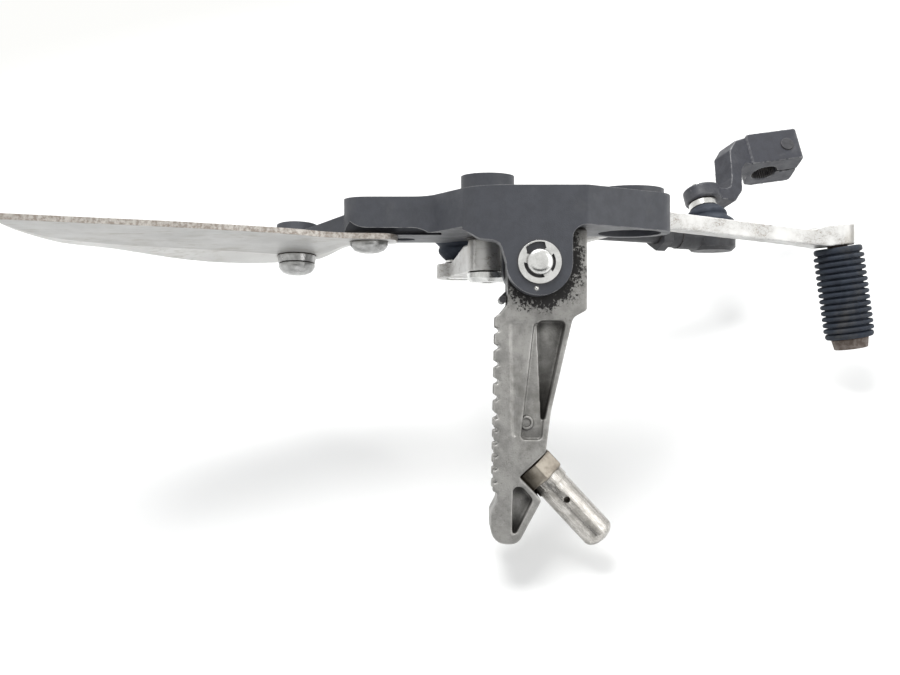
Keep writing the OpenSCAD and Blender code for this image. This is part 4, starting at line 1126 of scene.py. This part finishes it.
class REARSET_OT_guard(RearSetStep):
    """Makes the heel guard and its two screws"""

    bl_idname = "rear_set.guard"
    bl_label = "Heel guard"

    def make(self, context):
        # Darker sheet and lighter flange: painted shade and painted light on one sheet of aluminium
        guard = turned_piece("guard", guard_mesh(), "heel_guard", finish_of("scuffed sheet painted shaded"), 30)
        guard.data.materials.append(finish_of("brushed aluminium painted lit"))
        guard.data.materials.append(finish_of("scraped edge"))
        bevel = guard.modifiers.new("rounded edges", "BEVEL")
        bevel.width = EDGES["heel_guard"] * MM
        bevel.segments = 2
        bevel.angle_limit = math.radians(50)
        turned_piece("guard_screws", guard_screw_mesh(), "heel_guard_screws", finish_of("plated steel"))


class REARSET_OT_peg(RearSetStep):
    """Makes the cast footrest, its casting mark and its bank feeler"""

    bl_idname = "rear_set.peg"
    bl_label = "Footrest"

    def make(self, context):
        cast = finish_of("cast aluminium")
        cast_skin("footpeg", "peg", cast, PEG_FILLS)
        hexagon = small_piece(
            "feeler_hex", feeler_hex_mesh(), "peg_feeler", finish_of("scraped hexagon"), 25
        )
        bevel = hexagon.modifiers.new("rounded edges", "BEVEL")
        bevel.width = EDGES["peg_feeler"] * MM
        bevel.segments = 2
        small_piece("casting_mark", casting_mark_mesh(), "footpeg", cast)
        dress("peg_feeler", "feeler", sizes().steel_edge, finish_of("turned aluminium"))


class REARSET_OT_hinge(RearSetStep):
    """Makes the clevis pin with its domed end, its clip and the return spring"""

    bl_idname = "rear_set.hinge"
    bl_label = "Clevis pin, clip and spring"

    def make(self, context):
        bright = finish_of("bright steel")
        dress("footpeg_pin", "clevis_pin", EDGES["footpeg_pin"], bright, 4)
        small_piece("pin_dome", pin_dome_mesh(), "footpeg_pin", bright)
        dress("pin_clip", "clip", EDGES["pin_clip"], bright, 1)
        edge = EDGES["footpeg_spring"]
        spring = dress("footpeg_spring", "spring", edge, finish_of("blackened steel"), limit=60)
        normals = [item.vector.copy() for item in spring.data.vertex_normals]
        for vertex, normal in zip(spring.data.vertices, normals):
            vertex.co += normal * SPRING_SWELL * MM
        small_piece("spring_tail", spring_tail_mesh(), "hanger_bracket", bright)


class REARSET_OT_lever(RearSetStep):
    """Makes the gear lever with its bearing and pivot bolt"""

    bl_idname = "rear_set.lever"
    bl_label = "Gear lever"

    def make(self, context):
        cast_skin("gear_lever", "lever", finish_of("bare forged aluminium"))
        dress("lever_bushes", "bushes", EDGES["lever_bushes"], finish_of("bearing bronze"))
        dress("lever_washer", "seal", EDGES["lever_washer"], finish_of("satin black"))
        dress("lever_pivot_bolt", "pivot_bolt", sizes().steel_edge, finish_of("bright steel"))


class REARSET_OT_toe(RearSetStep):
    """Makes the toe pin and its ribbed rubber"""

    bl_idname = "rear_set.toe"
    bl_label = "Toe peg"

    def make(self, context):
        dress("toe_pin", "toe_pin_steel", sizes().steel_edge, finish_of("rusty steel"))
        turned_piece("toe_grip", toe_rubber_mesh(), "toe_rubber", finish_of("dull rubber"))


class REARSET_OT_link(RearSetStep):
    """Makes the rod with its lock nuts, ball joints and boots"""

    bl_idname = "rear_set.link"
    bl_label = "Shift link"

    def make(self, context):
        black = finish_of("satin black")
        bright = finish_of("bright steel")
        dress("link_rod", "rod", EDGES["link_rod"], black)
        dress("rod_lock_nuts", "lock_nuts", EDGES["rod_lock_nuts"], black)
        for end in ("rear", "front"):
            dress(f"rod_end_{end}", f"{end}_joint_case", EDGES["rod_end"], black)
            dress(f"ball_stud_{end}", f"{end}_stud", EDGES["ball_stud"], bright)
            turned_piece(f"{end}_boot", boot_mesh(end), f"boot_{end}", finish_of("dull rubber"))
        dress("stud_nut_rear", "stud_nut", EDGES["stud_nut_rear"], bright)


class REARSET_OT_arm(RearSetStep):
    """Makes the shift arm, the splines in its bore and its pinch bolt"""

    bl_idname = "rear_set.arm"
    bl_label = "Shift arm"

    def make(self, context):
        body, slot = BODY_OF["shift_arm"], SLOT_OF["shift_arm"]
        arm = new_object("clamp_arm", shift_arm_mesh(), body, ("shift_arm",))
        soften(arm, "shift_arm")
        arm.data.materials.append(finish_of("dark grey coat"))
        dress("pinch_bolt", "clamp_bolt", EDGES["pinch_bolt"], finish_of("blackened steel"))
        small_piece("clamp_splines", spline_mesh(), "shift_arm", finish_of("satin black"), 30)


class REARSET_OT_stage(RearSetStep):
    """Sets the table, the dark card, the lamps, the world and the camera"""

    bl_idname = "rear_set.stage"
    bl_label = "Stage"

    def make(self, context):
        build_floor()
        build_card()
        build_lamps(sizes().lamp_level)
        build_camera(sizes().camera_back)
        context.scene.view_settings.view_transform = "Standard"


STEPS = (
    REARSET_OT_finishes, REARSET_OT_hanger, REARSET_OT_guard, REARSET_OT_peg, REARSET_OT_hinge,
    REARSET_OT_lever, REARSET_OT_toe, REARSET_OT_link, REARSET_OT_arm, REARSET_OT_stage,
)


class REARSET_PT_panel(bpy.types.Panel):
    """Lists the steps and their values."""

    bl_label = "Rear Set"
    bl_idname = "REARSET_PT_panel"
    bl_space_type = "VIEW_3D"
    bl_region_type = "UI"
    bl_category = "Rear Set"

    def draw(self, context):
        for values in (context.scene.rear_set_sizes, context.scene.rear_set_looks):
            box = self.layout.box()
            for name in values.__annotations__:
                box.prop(values, name)
        column = self.layout.column(align=True)
        for step in STEPS:
            column.operator(step.bl_idname)


CLASSES = (RearSetSizes, RearSetLooks, *STEPS, REARSET_PT_panel)


def register():
    for item in CLASSES:
        bpy.utils.register_class(item)
    bpy.types.Scene.rear_set_sizes = PointerProperty(type=RearSetSizes)
    bpy.types.Scene.rear_set_looks = PointerProperty(type=RearSetLooks)


def unregister():
    del bpy.types.Scene.rear_set_looks
    del bpy.types.Scene.rear_set_sizes
    for item in reversed(CLASSES):
        bpy.utils.unregister_class(item)


def main():
    register()
    for step in STEPS:
        family, name = step.bl_idname.split(".")
        getattr(getattr(bpy.ops, family), name)()
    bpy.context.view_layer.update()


if __name__ == "__main__":
    main()
